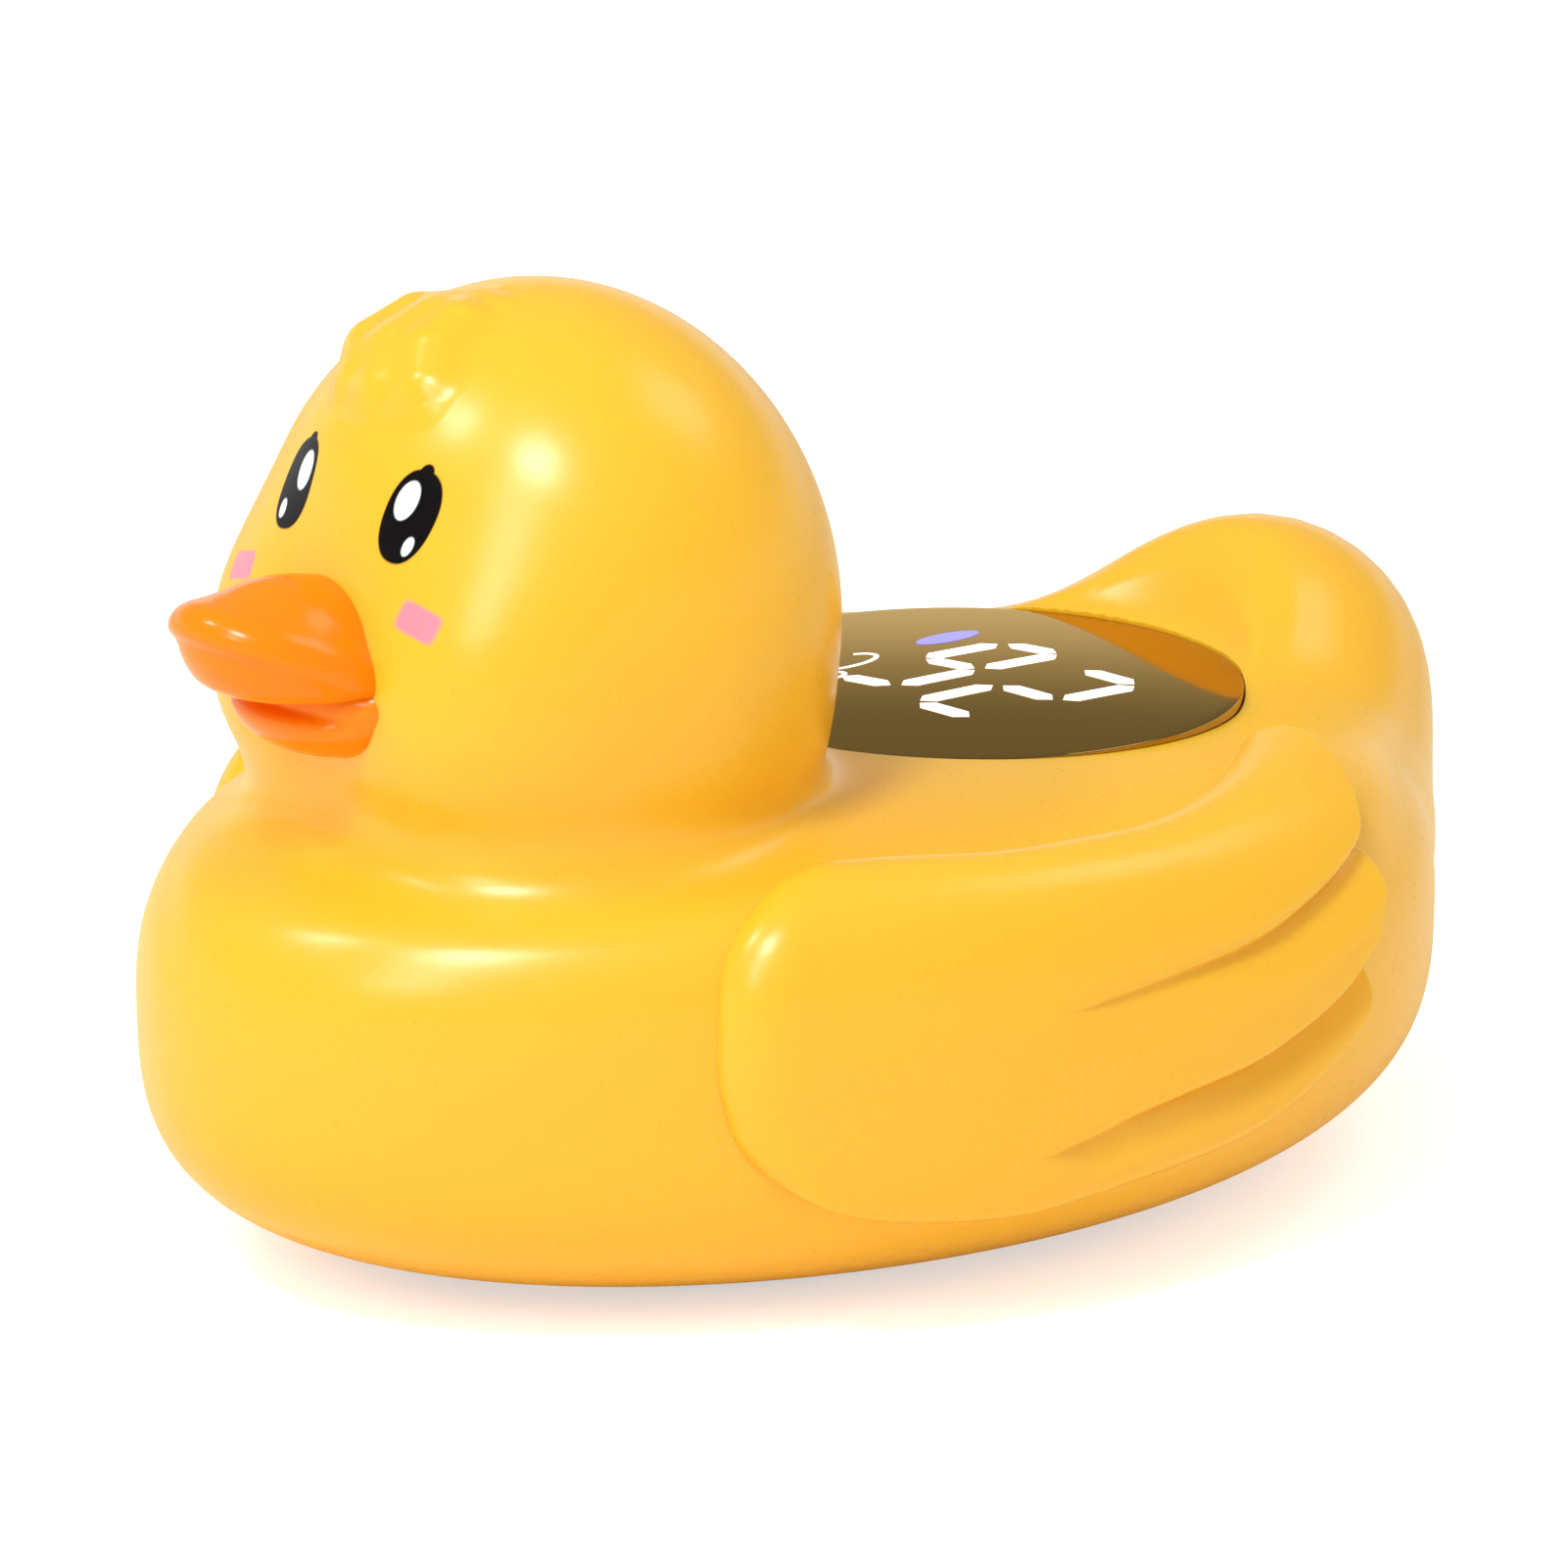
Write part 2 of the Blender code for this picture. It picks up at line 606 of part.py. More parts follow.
def feather_patch(high, low, front, rear, u, v):
    """A patch that blends its four border curves: both pairs added, less the blend of the corners."""
    t, b = along_curve(high, u)[:, None], along_curve(low, u)[:, None]
    f, r = along_curve(front, v)[None], along_curve(rear, v)[None]
    u, v = u[:, None, None], v[None, :, None]
    corners = (1 - u) * (1 - v) * t[:1] + u * (1 - v) * t[-1:] + (1 - u) * v * b[:1] + u * v * b[-1:]
    return (1 - v) * t + v * b + (1 - u) * f + u * r - corners


def on_body(angles):
    """Places and normals where rays in plan angle and height angle leave the body."""
    plan, rise = np.radians(angles[..., 0]), np.radians(angles[..., 1])
    direction = np.stack([np.cos(plan) * np.cos(rise), np.sin(plan) * np.cos(rise), np.sin(rise)], -1)
    start = np.broadcast_to(np.array(WING_CENTRE), direction.shape)
    hit = start + direction * first_hit(skin_field, start, direction, 75.0)[..., None]
    return hit, normals(skin_field, hit, 0.3)


def split_front():
    """The front edge in three stretches, cut where the two grooves start."""
    line = along_curve(WING_FRONT, np.linspace(0, 1, 61))
    first, second = (int(np.argmin(np.linalg.norm(line - np.array(groove[0]), axis=-1)))
                     for groove in (FIRST_GROOVE, SECOND_GROOVE))
    return [line[:first + 1], line[first:second + 1], line[second:]]


def feather_height(k, u, v, place):
    """How far feather k stands out: rounded borders, and a step down where it slips under the one above."""
    across = np.linalg.norm(place[:, -1] - place[:, 0], axis=-1)[:, None] * v[None]
    run = np.cumsum(np.linalg.norm(np.diff(place, axis=0), axis=-1), axis=0)
    ahead = np.concatenate([np.zeros((1, len(v))), run])
    thick = WING_THICK + WING_FULL * np.sin(math.pi * u)[:, None] ** 2
    first = FIRST_STEP * smooth_step(*FIRST_FADE, u)[:, None]
    second = SECOND_STEP * smooth_step(*SECOND_FADE, u)[:, None]
    below = across[:, -1:] - across
    border = quarter_round(ahead, FRONT_ROUND) * quarter_round(ahead[-1:] - ahead, TIP_ROUND)
    if k == 0:
        height = thick - first * (1 - quarter_round(below, FIRST_ROUND))
        border = border * quarter_round(across, TOP_ROUND)
    elif k == 1:
        height = thick - first * (1 - smooth_step(0.0, 0.9, v))
        height = height - second * (1 - quarter_round(below, SECOND_ROUND))
    else:
        height = thick - second * (1 - 0.75 * smooth_step(0.05, 0.7, v))
        border = border * quarter_round(below, LOW_ROUND)
    return WING_UNDER + (height - WING_UNDER) * border


def wing(name, side):
    u, v = clustered(FEATHER_COLUMNS), clustered(FEATHER_ROWS)
    fronts = split_front()
    borders = [WING_TOP, (fronts[1][0], *FIRST_GROOVE[1:]), (fronts[2][0], *SECOND_GROOVE[1:]), WING_BOTTOM]
    places, faces = [], []
    for k in range(3):
        place, out = on_body(feather_patch(borders[k], borders[k + 1], fronts[k], FEATHER_TIPS[k], u, v))
        for level in (feather_height(k, u, v, place)[..., None], WING_UNDER):
            start = sum(len(grid) for grid in places)
            places.append((place + out * level).reshape(-1, 3))
            for i in range(len(u) - 1):
                for j in range(len(v) - 1):
                    a = start + i * len(v) + j
                    faces.append((a, a + 1, a + len(v) + 1, a + len(v)))
    mesh = outward(mesh_of(name, np.concatenate(places) * np.array([side, 1, 1]), faces))
    return add_object(name, in_triangles(mesh), yellow)


for side in (1, -1):
    combine(duck, wing("wing", side), "UNION")

window_r = LENS_R + GAP
tail_r = window_r + SEAT
rear_half = [v for v in oval(tail_r, tail_r, sides=ROUND, centre=(0, LENS_Y)) if v[1] > LENS_Y - 0.1]
combine(duck, prism("tail_cut", rear_half, LENS_TOP - 0.2, DECK_Z + 20), "DIFFERENCE")
flange_r = window_r + FLANGE_WIDTH
seat_r = flange_r + GAP
seat_low = DECK_UNDER - HOUSING_HEIGHT
cut_shape = [(0, seat_low), (seat_r, seat_low), (seat_r, DECK_UNDER + SEAT), (window_r, DECK_UNDER + SEAT),
             (window_r, DECK_Z + 1), (0, DECK_Z + 1)]
display_cut = turned("display_cut", cut_shape, None, (0, LENS_Y, 0))
combine(duck, display_cut, "DIFFERENCE")
stem_z = (BILL_ROOT[1] + LOWER_LIP[1]) / 2 + 0.5
socket = turned("socket_cut", [(0, 0), (STEM_R + GAP, 0), (STEM_R + GAP, 16), (0, 16)], None,
                (0, FACE_Y - 6, stem_z), (-90, 0, 0), 24)
combine(duck, socket, "DIFFERENCE")


# Bill: upper and lower lip in one, with a stem that goes into the head

def ball_grid(name, field, centre, rings, columns, reach, mat):
    """A closed skin round a centre, its poles on the line along the duck."""
    a = np.arange(columns) / columns * 2 * math.pi
    polar = np.linspace(0, math.pi, rings + 2)[1:-1]
    side = np.sin(polar)[:, None]
    direction = np.stack([side * np.cos(a), np.broadcast_to(-np.cos(polar)[:, None], (rings, columns)),
                          side * np.sin(a)], -1)
    ends = np.array([[0, -1.0, 0], [0, 1.0, 0]])
    flat = np.concatenate([direction.reshape(-1, 3), ends])
    start = np.broadcast_to(np.array(centre, float), flat.shape)
    hit = first_hit(field, start, flat, reach)
    skin = start + flat * hit[:, None]
    n = rings * columns
    faces = [f[::-1] for f in ring_faces(rings, columns)]
    faces += [(n, (c + 1) % columns, c)[::-1] for c in range(columns)]
    base_row = (rings - 1) * columns
    faces += [(n + 1, base_row + c, base_row + (c + 1) % columns)[::-1] for c in range(columns)]
    return mesh_of(name, skin, [tuple(f) for f in faces])


bill_mesh = outward(ball_grid("bill", bill_field, (0, FACE_Y - 2.6, stem_z), 22, 32, 26.0, orange))
bill = add_object("bill", bill_mesh, orange, sharp=45)
stem = turned("stem", [(0, 0), (STEM_R, 0), (STEM_R, STEM_LENGTH + 4), (0, STEM_LENGTH + 4)], None,
              (0, FACE_Y - 3.5, stem_z), (-90, 0, 0), 24)
combine(bill, stem, "UNION")


# Display, from the lens down

lens_low = LENS_TOP - LENS_THICK
tape_low = lens_low - SEAT - TAPE_THICK
housing_top = tape_low - SEAT
housing_low = housing_top - HOUSING_HEIGHT
housing_in = ROOM_R
flange_top = DECK_UNDER - SEAT
lens_edge = 0.3
lens_shape = [(0, lens_low), (LENS_R, lens_low), (LENS_R, LENS_TOP - lens_edge), (LENS_R - lens_edge, LENS_TOP),
              (LENS_R * 0.75, LENS_TOP + LENS_DOME * 0.45), (LENS_R * 0.4, LENS_TOP + LENS_DOME * 0.85),
              (0, LENS_TOP + LENS_DOME)]
turned("display_lens", lens_shape, smoked, (0, LENS_Y, 0), sides=ROUND)
turned("lens_tape", [(LENS_R - TAPE_WIDTH, tape_low), (LENS_R - SEAT, tape_low),
                     (LENS_R - SEAT, tape_low + TAPE_THICK), (LENS_R - TAPE_WIDTH, tape_low + TAPE_THICK)],
       tape_black, (0, LENS_Y, 0), sides=ROUND)
flange_low = flange_top - FLANGE_THICK
housing_shape = [(housing_in, housing_low), (LENS_R, housing_low), (LENS_R, flange_low), (flange_r, flange_low),
                 (flange_r, flange_top), (LENS_R, flange_top), (LENS_R, housing_top), (housing_in, housing_top)]
housing = turned("display_housing", housing_shape, cream, (0, LENS_Y, 0), sides=ROUND)

board_top = housing_low - SEAT
board_low = board_top - BOARD_THICK
board_r = LENS_R
guide_low = board_top + SEAT
mask_low = guide_low + GUIDE_THICK + SEAT
mask_top = mask_low + MASK_THICK
segment_top = mask_top - GAP


def bar(p, q, width):
    """A pointed segment between two places."""
    p, q = np.array(p, float), np.array(q, float)
    along = (q - p) / np.linalg.norm(q - p)
    side = np.array([-along[1], along[0]]) * width / 2
    tip = along * width / 2
    return [tuple(v) for v in (p, p + tip - side, q - tip - side, q, q - tip + side, p + tip + side)]


SEGMENTS = {"2": "abged", "6": "afgedc", "C": "afed"}


def character(letter, centre, width, height, thick):
    """Bars of one character, its top towards -Y and its text running towards -X."""
    w, h = width / 2, height / 2
    corner = {"tl": (-w, h), "tr": (w, h), "ml": (-w, 0), "mr": (w, 0), "bl": (-w, -h), "br": (w, -h)}
    ends = {"a": ("tl", "tr"), "b": ("tr", "mr"), "c": ("mr", "br"), "d": ("bl", "br"),
            "e": ("ml", "bl"), "f": ("tl", "ml"), "g": ("ml", "mr")}
    made = []
    for key in SEGMENTS[letter]:
        p, q = (np.array(corner[k]) for k in ends[key])
        along = (q - p) / np.linalg.norm(q - p)
        p, q = p + along * 0.15, q - along * 0.15
        made.append(bar(centre + p * (-1, -1), centre + q * (-1, -1), thick))
    return made


axis = np.array([0.0, LENS_Y])
places = {"2": axis + (DIGIT_PITCH * 0.95, DIGIT_AFT), "6": axis + (-DIGIT_PITCH * 0.05, DIGIT_AFT),
          "C": axis + (-DIGIT_PITCH * 0.95, -DIGIT_AFT * 0.7)}
ring_place = axis + (-DIGIT_PITCH * 0.55, -DIGIT_PITCH * 0.7)
guide = prism("digit_display", oval(housing_in - GAP * 2, housing_in - GAP * 2, sides=32, centre=axis),
              guide_low, guide_low + GUIDE_THICK, glow)
lamp_at = axis + LAMP_AT
combine(guide, prism("lamp_hole", oval(LAMP_SIZE[0] + GAP, LAMP_SIZE[1] + GAP, sides=20, centre=lamp_at),
                     guide_low - 1, guide_low + GUIDE_THICK + 1), "DIFFERENCE")
for letter, centre in places.items():
    small = letter == "C"
    for k, shape in enumerate(character(letter, centre, SMALL_WIDTH if small else DIGIT_WIDTH,
                                        SMALL_HEIGHT if small else DIGIT_HEIGHT,
                                        SEGMENT * (0.8 if small else 1.0))):
        combine(guide, prism("bar", shape, guide_low + GUIDE_THICK / 2, segment_top), "UNION")
ring_in, ring_out = RING_R - SEGMENT * 0.5, RING_R + SEGMENT * 0.1
ring_low = guide_low + GUIDE_THICK / 2
ring_shape = [(ring_in, ring_low), (ring_out, ring_low), (ring_out, segment_top), (ring_in, segment_top)]
combine(guide, turned("degree", ring_shape, None, (*ring_place, 0), sides=20), "UNION")

mask_r = housing_in - GAP
mask = prism("light_mask", oval(mask_r, mask_r, sides=ROUND, centre=axis), mask_low, mask_top, mask_dark)
for letter, centre in places.items():
    small = letter == "C"
    wide = (SMALL_WIDTH if small else DIGIT_WIDTH) + SEGMENT + GAP * 2
    tall = (SMALL_HEIGHT if small else DIGIT_HEIGHT) + SEGMENT + GAP * 2
    window = prism("digit_window", box_outline(wide, tall, centre), mask_low - 1, mask_top + 1)
    combine(mask, window, "DIFFERENCE")
ring_window = oval(ring_out + GAP, ring_out + GAP, sides=20, centre=ring_place)
combine(mask, prism("ring_window", ring_window, mask_low - 1, mask_top + 1), "DIFFERENCE")
combine(mask, prism("lamp_window", oval(LAMP_SIZE[0] + GAP, LAMP_SIZE[1] + GAP, sides=20, centre=lamp_at),
                    mask_low - 1, mask_top + 1), "DIFFERENCE")
prism("status_lamp", oval(*LAMP_SIZE, sides=20, centre=lamp_at), board_top + SEAT, segment_top, violet)


# Board and what is on it

board_outline = oval(board_r, board_r, sides=ROUND, centre=axis)
board = prism("main_board", board_outline, board_low, board_top, board_green)
screw_ring = housing_in + HOUSING_WALL / 2
for k in range(3):
    turn = math.radians(90 + 120 * k)
    at = (screw_ring * math.cos(turn), LENS_Y + screw_ring * math.sin(turn))
    hole = oval(BOARD_SCREW_R + 0.12, BOARD_SCREW_R + 0.12, sides=12, centre=at)
    combine(board, prism("screw_hole", hole, board_low - 1, board_top + 1), "DIFFERENCE")
    deep = board_low + BOARD_SCREW_LENGTH + GAP
    combine(housing, prism("pilot", hole, housing_low - 1, deep), "DIFFERENCE")
    head = 0.8
    screw = screw_profile(BOARD_SCREW_R, BOARD_SCREW_HEAD_R, head, BOARD_SCREW_LENGTH)
    turned("board_screw_%d" % (k + 1), screw, steel, (*at, board_low - SEAT - head), sides=12)
chip_z = board_low - SEAT - CHIP[2]
prism("control_chip", box_outline(CHIP[0], CHIP[1], axis + CHIP_AT), chip_z, chip_z + CHIP[2], chip_black)
can = [(0, 0), (CAPACITOR_R - 0.3, 0), (CAPACITOR_R, 0.3), (CAPACITOR_R, CAPACITOR_LENGTH), (0, CAPACITOR_LENGTH)]
can_low = board_low - SEAT - CAPACITOR_LENGTH
turned("filter_capacitor", can, chip_black, (*(axis + CAPACITOR_AT), can_low), sides=20)


# Base plate with the cell bay, the cover's seat and the probe's boss

plate_oval = (OPENING[0] + LEDGE - GAP, OPENING[1] + LEDGE - GAP)
plate = prism("base_plate", oval(*plate_oval, sides=COLUMNS, centre=(0, BASE_Y)), 0, BASE_THICK, cream)
cover_top = COVER_THICK
cell_low = cover_top + SEAT * 2
bay_r = CELL_R + CELL_GAP
bay_top = cell_low + CELL_THICK + BAY_SPARE
bay_out = bay_r + BAY_WALL
cover_r = bay_r + COVER_LIP
tab_y = CELL_Y + cover_r + 1.2
tab_r = COVER_SCREW_HEAD_R + 1.2


def tear_outline(grow, sides=36):
    """Outline of the round cover with its screw tab: the outer edge of two circles and their sides."""
    big, small = cover_r + grow, tab_r + grow
    gap = tab_y - CELL_Y
    lean = math.asin((big - small) / gap)
    shape = []
    for t in np.linspace(math.pi - lean, 2 * math.pi + lean, sides):
        shape.append((big * math.cos(t), CELL_Y + big * math.sin(t)))
    for t in np.linspace(lean, math.pi - lean, 12):
        shape.append((small * math.cos(t), tab_y + small * math.sin(t)))
    return shape


bay_outline = oval(bay_out, bay_out, sides=ROUND, centre=(0, CELL_Y))
combine(plate, prism("bay_wall", bay_outline, BASE_THICK / 2, bay_top + BAY_WALL), "UNION")
tab_boss = tab_r + 0.4
combine(plate, prism("tab_boss", oval(tab_boss, tab_boss, sides=24, centre=(0, tab_y)), BASE_THICK / 2,
                     COVER_THICK + 6.2), "UNION")
probe_out = PROBE_R + GAP + BOSS_WALL
boss_outline = oval(probe_out, probe_out, sides=28, centre=(0, PROBE_Y))
combine(plate, prism("probe_boss", boss_outline, BASE_THICK / 2, PROBE_HEIGHT), "UNION")
combine(plate, prism("cover_seat", tear_outline(GAP), -1, COVER_THICK + SEAT), "DIFFERENCE")
hollow = oval(bay_r, bay_r, sides=ROUND, centre=(0, CELL_Y))
combine(plate, prism("bay_hollow", hollow, 0.5, bay_top), "DIFFERENCE")
tab_hole = oval(COVER_SCREW_R + 0.12, COVER_SCREW_R + 0.12, sides=16, centre=(0, tab_y))
combine(plate, prism("tab_hole", tab_hole, 0.5, COVER_THICK + 5.2), "DIFFERENCE")
probe_hole = turned("probe_hole", [(0, -1), (PROBE_R + GAP, -1), (PROBE_R + GAP, PROBE_HEIGHT - 1.2),
                                   (PROBE_R - 1.0, PROBE_HEIGHT - 1.2), (PROBE_R - 1.0, PROBE_HEIGHT + 1),
                                   (0, PROBE_HEIGHT + 1)], None, (0, PROBE_Y, 0), sides=28)
combine(plate, probe_hole, "DIFFERENCE")

screw_oval = (OPENING[0] + LEDGE / 2, OPENING[1] + LEDGE / 2)
screw_low = 0.2
screw_turn = math.radians(52)
for k, (sx, sy) in enumerate([(1, 1), (-1, 1), (-1, -1), (1, -1)]):
    at = (sx * screw_oval[0] * math.cos(screw_turn), BASE_Y + sy * screw_oval[1] * math.sin(screw_turn))
    seat = BASE_SCREW_HEAD_R + GAP
    combine(plate, turned("screw_seat", [(0, -1), (seat, -1), (seat, screw_low + BASE_SCREW_HEAD + SEAT),
                                         (BASE_SCREW_R + 0.15, screw_low + BASE_SCREW_HEAD + SEAT),
                                         (BASE_SCREW_R + 0.15, BASE_THICK + 1), (0, BASE_THICK + 1)], None,
                          (*at, 0), sides=16), "DIFFERENCE")
    deep = screw_low + BASE_SCREW_HEAD + BASE_SCREW_LENGTH + GAP
    combine(duck, prism("rim_pilot", oval(BASE_SCREW_R + 0.15, BASE_SCREW_R + 0.15, sides=16, centre=at),
                        BASE_THICK - 0.5, deep), "DIFFERENCE")
    turned("base_screw_%d" % (k + 1), screw_profile(BASE_SCREW_R, BASE_SCREW_HEAD_R, BASE_SCREW_HEAD,
                                                   BASE_SCREW_LENGTH), steel, (*at, screw_low), sides=16)


def oval_ring(name, half_x, half_y, centre, width, low, high, mat, sides=COLUMNS):
    """A flat ring that follows an oval."""
    rows = []
    for grow, z in ((0, low), (width, low), (width, high), (0, high), (0, low)):
        a = np.arange(sides) / sides * 2 * math.pi
        x = (half_x + grow) * np.cos(a) + centre[0]
        y = (half_y + grow) * np.sin(a) + centre[1]
        rows.append(np.stack([x, y, np.full(sides, z)], -1))
    faces = ring_faces(4, sides)
    last = 3 * sides
    faces += [(last + c, last + (c + 1) % sides, (c + 1) % sides, c) for c in range(sides)]
    return add_object(name, outward(mesh_of(name, np.concatenate(rows[:4]), faces)), mat)


oval_ring("base_seal", OPENING[0] + 0.4, OPENING[1] + 0.4, (0, BASE_Y), 0.8, BASE_THICK + SEAT,
          BASE_THICK + GAP - SEAT, rubber)

# Cover, its seal and its screw
cover = prism("battery_cover", tear_outline(0), 0, COVER_THICK - GAP, cream)
cover_head = 0.9
seat_shape = [(0, -1), (COVER_SCREW_HEAD_R + GAP, -1), (COVER_SCREW_HEAD_R + GAP, cover_head + 0.1),
              (COVER_SCREW_R + 0.15, cover_head + 0.1), (COVER_SCREW_R + 0.15, 5), (0, 5)]
combine(cover, turned("cover_screw_seat", seat_shape, None, (0, tab_y, 0), sides=16), "DIFFERENCE")
slot = prism("coin_slot", box_outline(9.0, 1.4, (0, CELL_Y)), -1, 0.6)
combine(cover, slot, "DIFFERENCE")
turned("cover_screw", screw_profile(COVER_SCREW_R, COVER_SCREW_HEAD_R, cover_head - 0.1, 4.8), steel,
       (0, tab_y, 0.1), sides=16)
oval_ring("cover_seal", bay_r + 0.6, bay_r + 0.6, (0, CELL_Y), 0.9, COVER_THICK - GAP + SEAT, COVER_THICK,
          rubber, 40)

# Cell and contacts
turned("coin_cell", [(0, 0), (CELL_R - 1.2, 0), (CELL_R - 1.0, 0.3), (CELL_R - 0.3, 0.3), (CELL_R, 0.6),
                     (CELL_R, CELL_THICK), (0, CELL_THICK)], steel, (0, CELL_Y, cell_low), sides=ROUND)
spring_low = cell_low + CELL_THICK + SEAT


def strip(name, route, width, mat):
    """A bent metal strip: its route is given in the X-Z plane."""
    route = [np.array(p, float) for p in route]
    left, right = [], []
    for i, p in enumerate(route):
        a = route[max(i - 1, 0)]
        b = route[min(i + 1, len(route) - 1)]
        along = (b - a) / np.linalg.norm(b - a)
        side = np.array([-along[1], along[0]]) * CONTACT_THICK / 2
        left.append(p + side)
        right.append(p - side)
    loop = right + left[::-1]
    n = len(loop)
    pts = [(p[0], -width / 2, p[1]) for p in loop] + [(p[0], width / 2, p[1]) for p in loop]
    fcs = [tuple(range(n)), tuple(reversed(range(n, 2 * n)))]
    fcs += [(i, (i + 1) % n, n + (i + 1) % n, n + i) for i in range(n)]
    mesh = mesh_of(name, pts, fcs)
    return add_object(name, outward(mesh), mat, (0, CELL_Y, 0))


mid = spring_low + CONTACT_THICK / 2
high = bay_top - SEAT - CONTACT_THICK / 2
spring = [(-7.5, high), (-4.5, high), (-1.5, mid), (1.5, mid), (4.5, high), (7.5, high)]
strip("spring_contact", spring, CONTACT_WIDTH, steel)
side_outline = box_outline(CONTACT_THICK, CONTACT_WIDTH, (CELL_R + CELL_GAP / 2, CELL_Y))
prism("side_contact", side_outline, cell_low + 0.4, bay_top - SEAT * 2, steel)

# Probe
cap_top = PROBE_HEIGHT - 1.5
cap = [(0, 0.1), (PROBE_R * 0.75, 0.15), (PROBE_R, 0.9), (PROBE_R, cap_top), (PROBE_R - PROBE_WALL, cap_top),
       (PROBE_R - PROBE_WALL, 1.2), (PROBE_R * 0.7, 0.15 + PROBE_WALL * 1.3), (0, 0.1 + PROBE_WALL * 1.2)]
turned("probe_cap", cap, steel, (0, PROBE_Y, 0), sides=28)
bead_r = 1.3
bead_low = 0.1 + PROBE_WALL * 1.2 + 0.25
bead_top = bead_low + 2 * bead_r
bead = [(0, bead_low), (bead_r * 0.75, bead_low + 0.35), (bead_r, bead_low + bead_r),
        (bead_r * 0.75, bead_top - 0.35), (0, bead_top)]
turned("thermistor", bead, chip_black, (0, PROBE_Y, 0), sides=16)

# Studs that feel the water
stud_hole = [(0, -1), (STUD_HEAD_R + GAP, -1), (STUD_HEAD_R + GAP, STUD_HEAD + 0.2),
             (STUD_R + 0.15, STUD_HEAD + 0.2), (STUD_R + 0.15, BASE_THICK + 1), (0, BASE_THICK + 1)]
stud = [(0, 0.1), (STUD_HEAD_R * 0.8, 0.15), (STUD_HEAD_R, 0.4), (STUD_HEAD_R, STUD_HEAD + 0.1),
        (STUD_R, STUD_HEAD + 0.1), (STUD_R, STUD_LENGTH), (0, STUD_LENGTH)]
for name, sign in (("left", 1), ("right", -1)):
    at = (sign * STUD_X, STUD_Y, 0)
    combine(plate, turned("stud_hole", stud_hole, None, at, sides=16), "DIFFERENCE")
    turned("water_contact_" + name, stud, steel, at, sides=16)

# Leads, from their terminals up to the board's underside
lead_top = board_low - GAP


def lead(name, start, board_at, mat):
    """A lead that rises from its terminal, leans over to its solder point and rises to the board."""
    start, board_at = np.array(start, float), np.array(board_at, float)
    lift = np.array([0, 0, LEAD_RISE])
    end = np.array([*board_at, lead_top])
    across = end - start
    tube(name, [start, start + lift, start + lift + (across - 2 * lift) * 0.4,
                start + lift + (across - 2 * lift) * 0.75, end - lift, end], LEAD_R, mat)


lead("probe_lead", (0, PROBE_Y, bead_top + GAP), (0, BOARD_TERMINALS_Y - 4.0), black)
for name, sign in (("left", 1), ("right", -1)):
    lead("sense_lead_" + name, (sign * STUD_X, STUD_Y, STUD_LENGTH + GAP),
         (sign * (STUD_X + 1), BOARD_TERMINALS_Y - 1.0), cream)
bay_roof = bay_top + BAY_WALL + GAP
power_x = CELL_R * 0.7
lead("power_lead_plus", (power_x, CELL_Y - 3, bay_roof), (power_x * 0.7, BOARD_TERMINALS_Y), red)
lead("power_lead_minus", (-power_x, CELL_Y - 3, bay_roof), (-power_x * 0.7, BOARD_TERMINALS_Y), black)
oval_ring("probe_seal", PROBE_R - 0.85, PROBE_R - 0.85, (0, PROBE_Y), 0.75, PROBE_HEIGHT - 1.5 + SEAT,
          PROBE_HEIGHT - 1.2 - SEAT, rubber, 28)
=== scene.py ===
import math
import bmesh
import bpy
import numpy as np
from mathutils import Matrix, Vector


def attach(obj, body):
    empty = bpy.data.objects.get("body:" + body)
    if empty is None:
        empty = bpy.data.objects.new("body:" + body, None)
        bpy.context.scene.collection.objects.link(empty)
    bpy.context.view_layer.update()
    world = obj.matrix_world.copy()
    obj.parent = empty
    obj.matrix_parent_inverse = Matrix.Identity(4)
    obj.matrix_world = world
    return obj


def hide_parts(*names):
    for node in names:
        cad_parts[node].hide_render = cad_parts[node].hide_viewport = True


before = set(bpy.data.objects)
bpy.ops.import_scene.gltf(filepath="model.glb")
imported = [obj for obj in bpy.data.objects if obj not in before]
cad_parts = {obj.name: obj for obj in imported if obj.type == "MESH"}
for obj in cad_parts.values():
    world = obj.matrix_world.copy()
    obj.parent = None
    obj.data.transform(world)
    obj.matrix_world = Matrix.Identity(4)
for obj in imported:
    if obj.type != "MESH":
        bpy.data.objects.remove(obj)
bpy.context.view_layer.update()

mm = 0.001  # shapes are worked out in millimetres, meshes are in metres

# Small maths on whole arrays


def softMin(a, b, k):
    # the smaller of two values, blended over a width k
    h = np.clip(k - np.abs(a - b), 0, None) / k
    return np.minimum(a, b) - h * h * k * 0.25


def softMax(a, b, k):
    # the larger of two values, blended the same way
    return -softMin(-a, -b, k)


def smoothStep(a, b, x):
    # 0 up to a and 1 from b on, with a soft rise between
    t = np.clip((x - a) / (b - a), 0, 1)
    return t * t * (3 - 2 * t)


def quarterRound(distance, radius):
    # 0 at an edge and 1 from the radius on, rising as a quarter of a circle
    t = 1 - np.clip(distance / radius, 0, 1)
    return np.sqrt(np.clip(1 - t * t, 0, 1))


def unitRows(v):
    # vectors brought to length 1
    return v / np.maximum(np.linalg.norm(v, axis=-1, keepdims=True), 1e-12)


def turnSteps(count):
    # angles that go evenly once round
    return np.arange(count) / count * 2 * math.pi


def ellipsoid(p, centre, size):
    # about the distance to an ellipsoid, below zero inside it
    q = (p - np.array(centre)) / np.array(size)
    near = np.linalg.norm(q, axis=-1)
    steep = np.linalg.norm(q / np.array(size), axis=-1)
    return near * (near - 1) / np.maximum(steep, 1e-9)


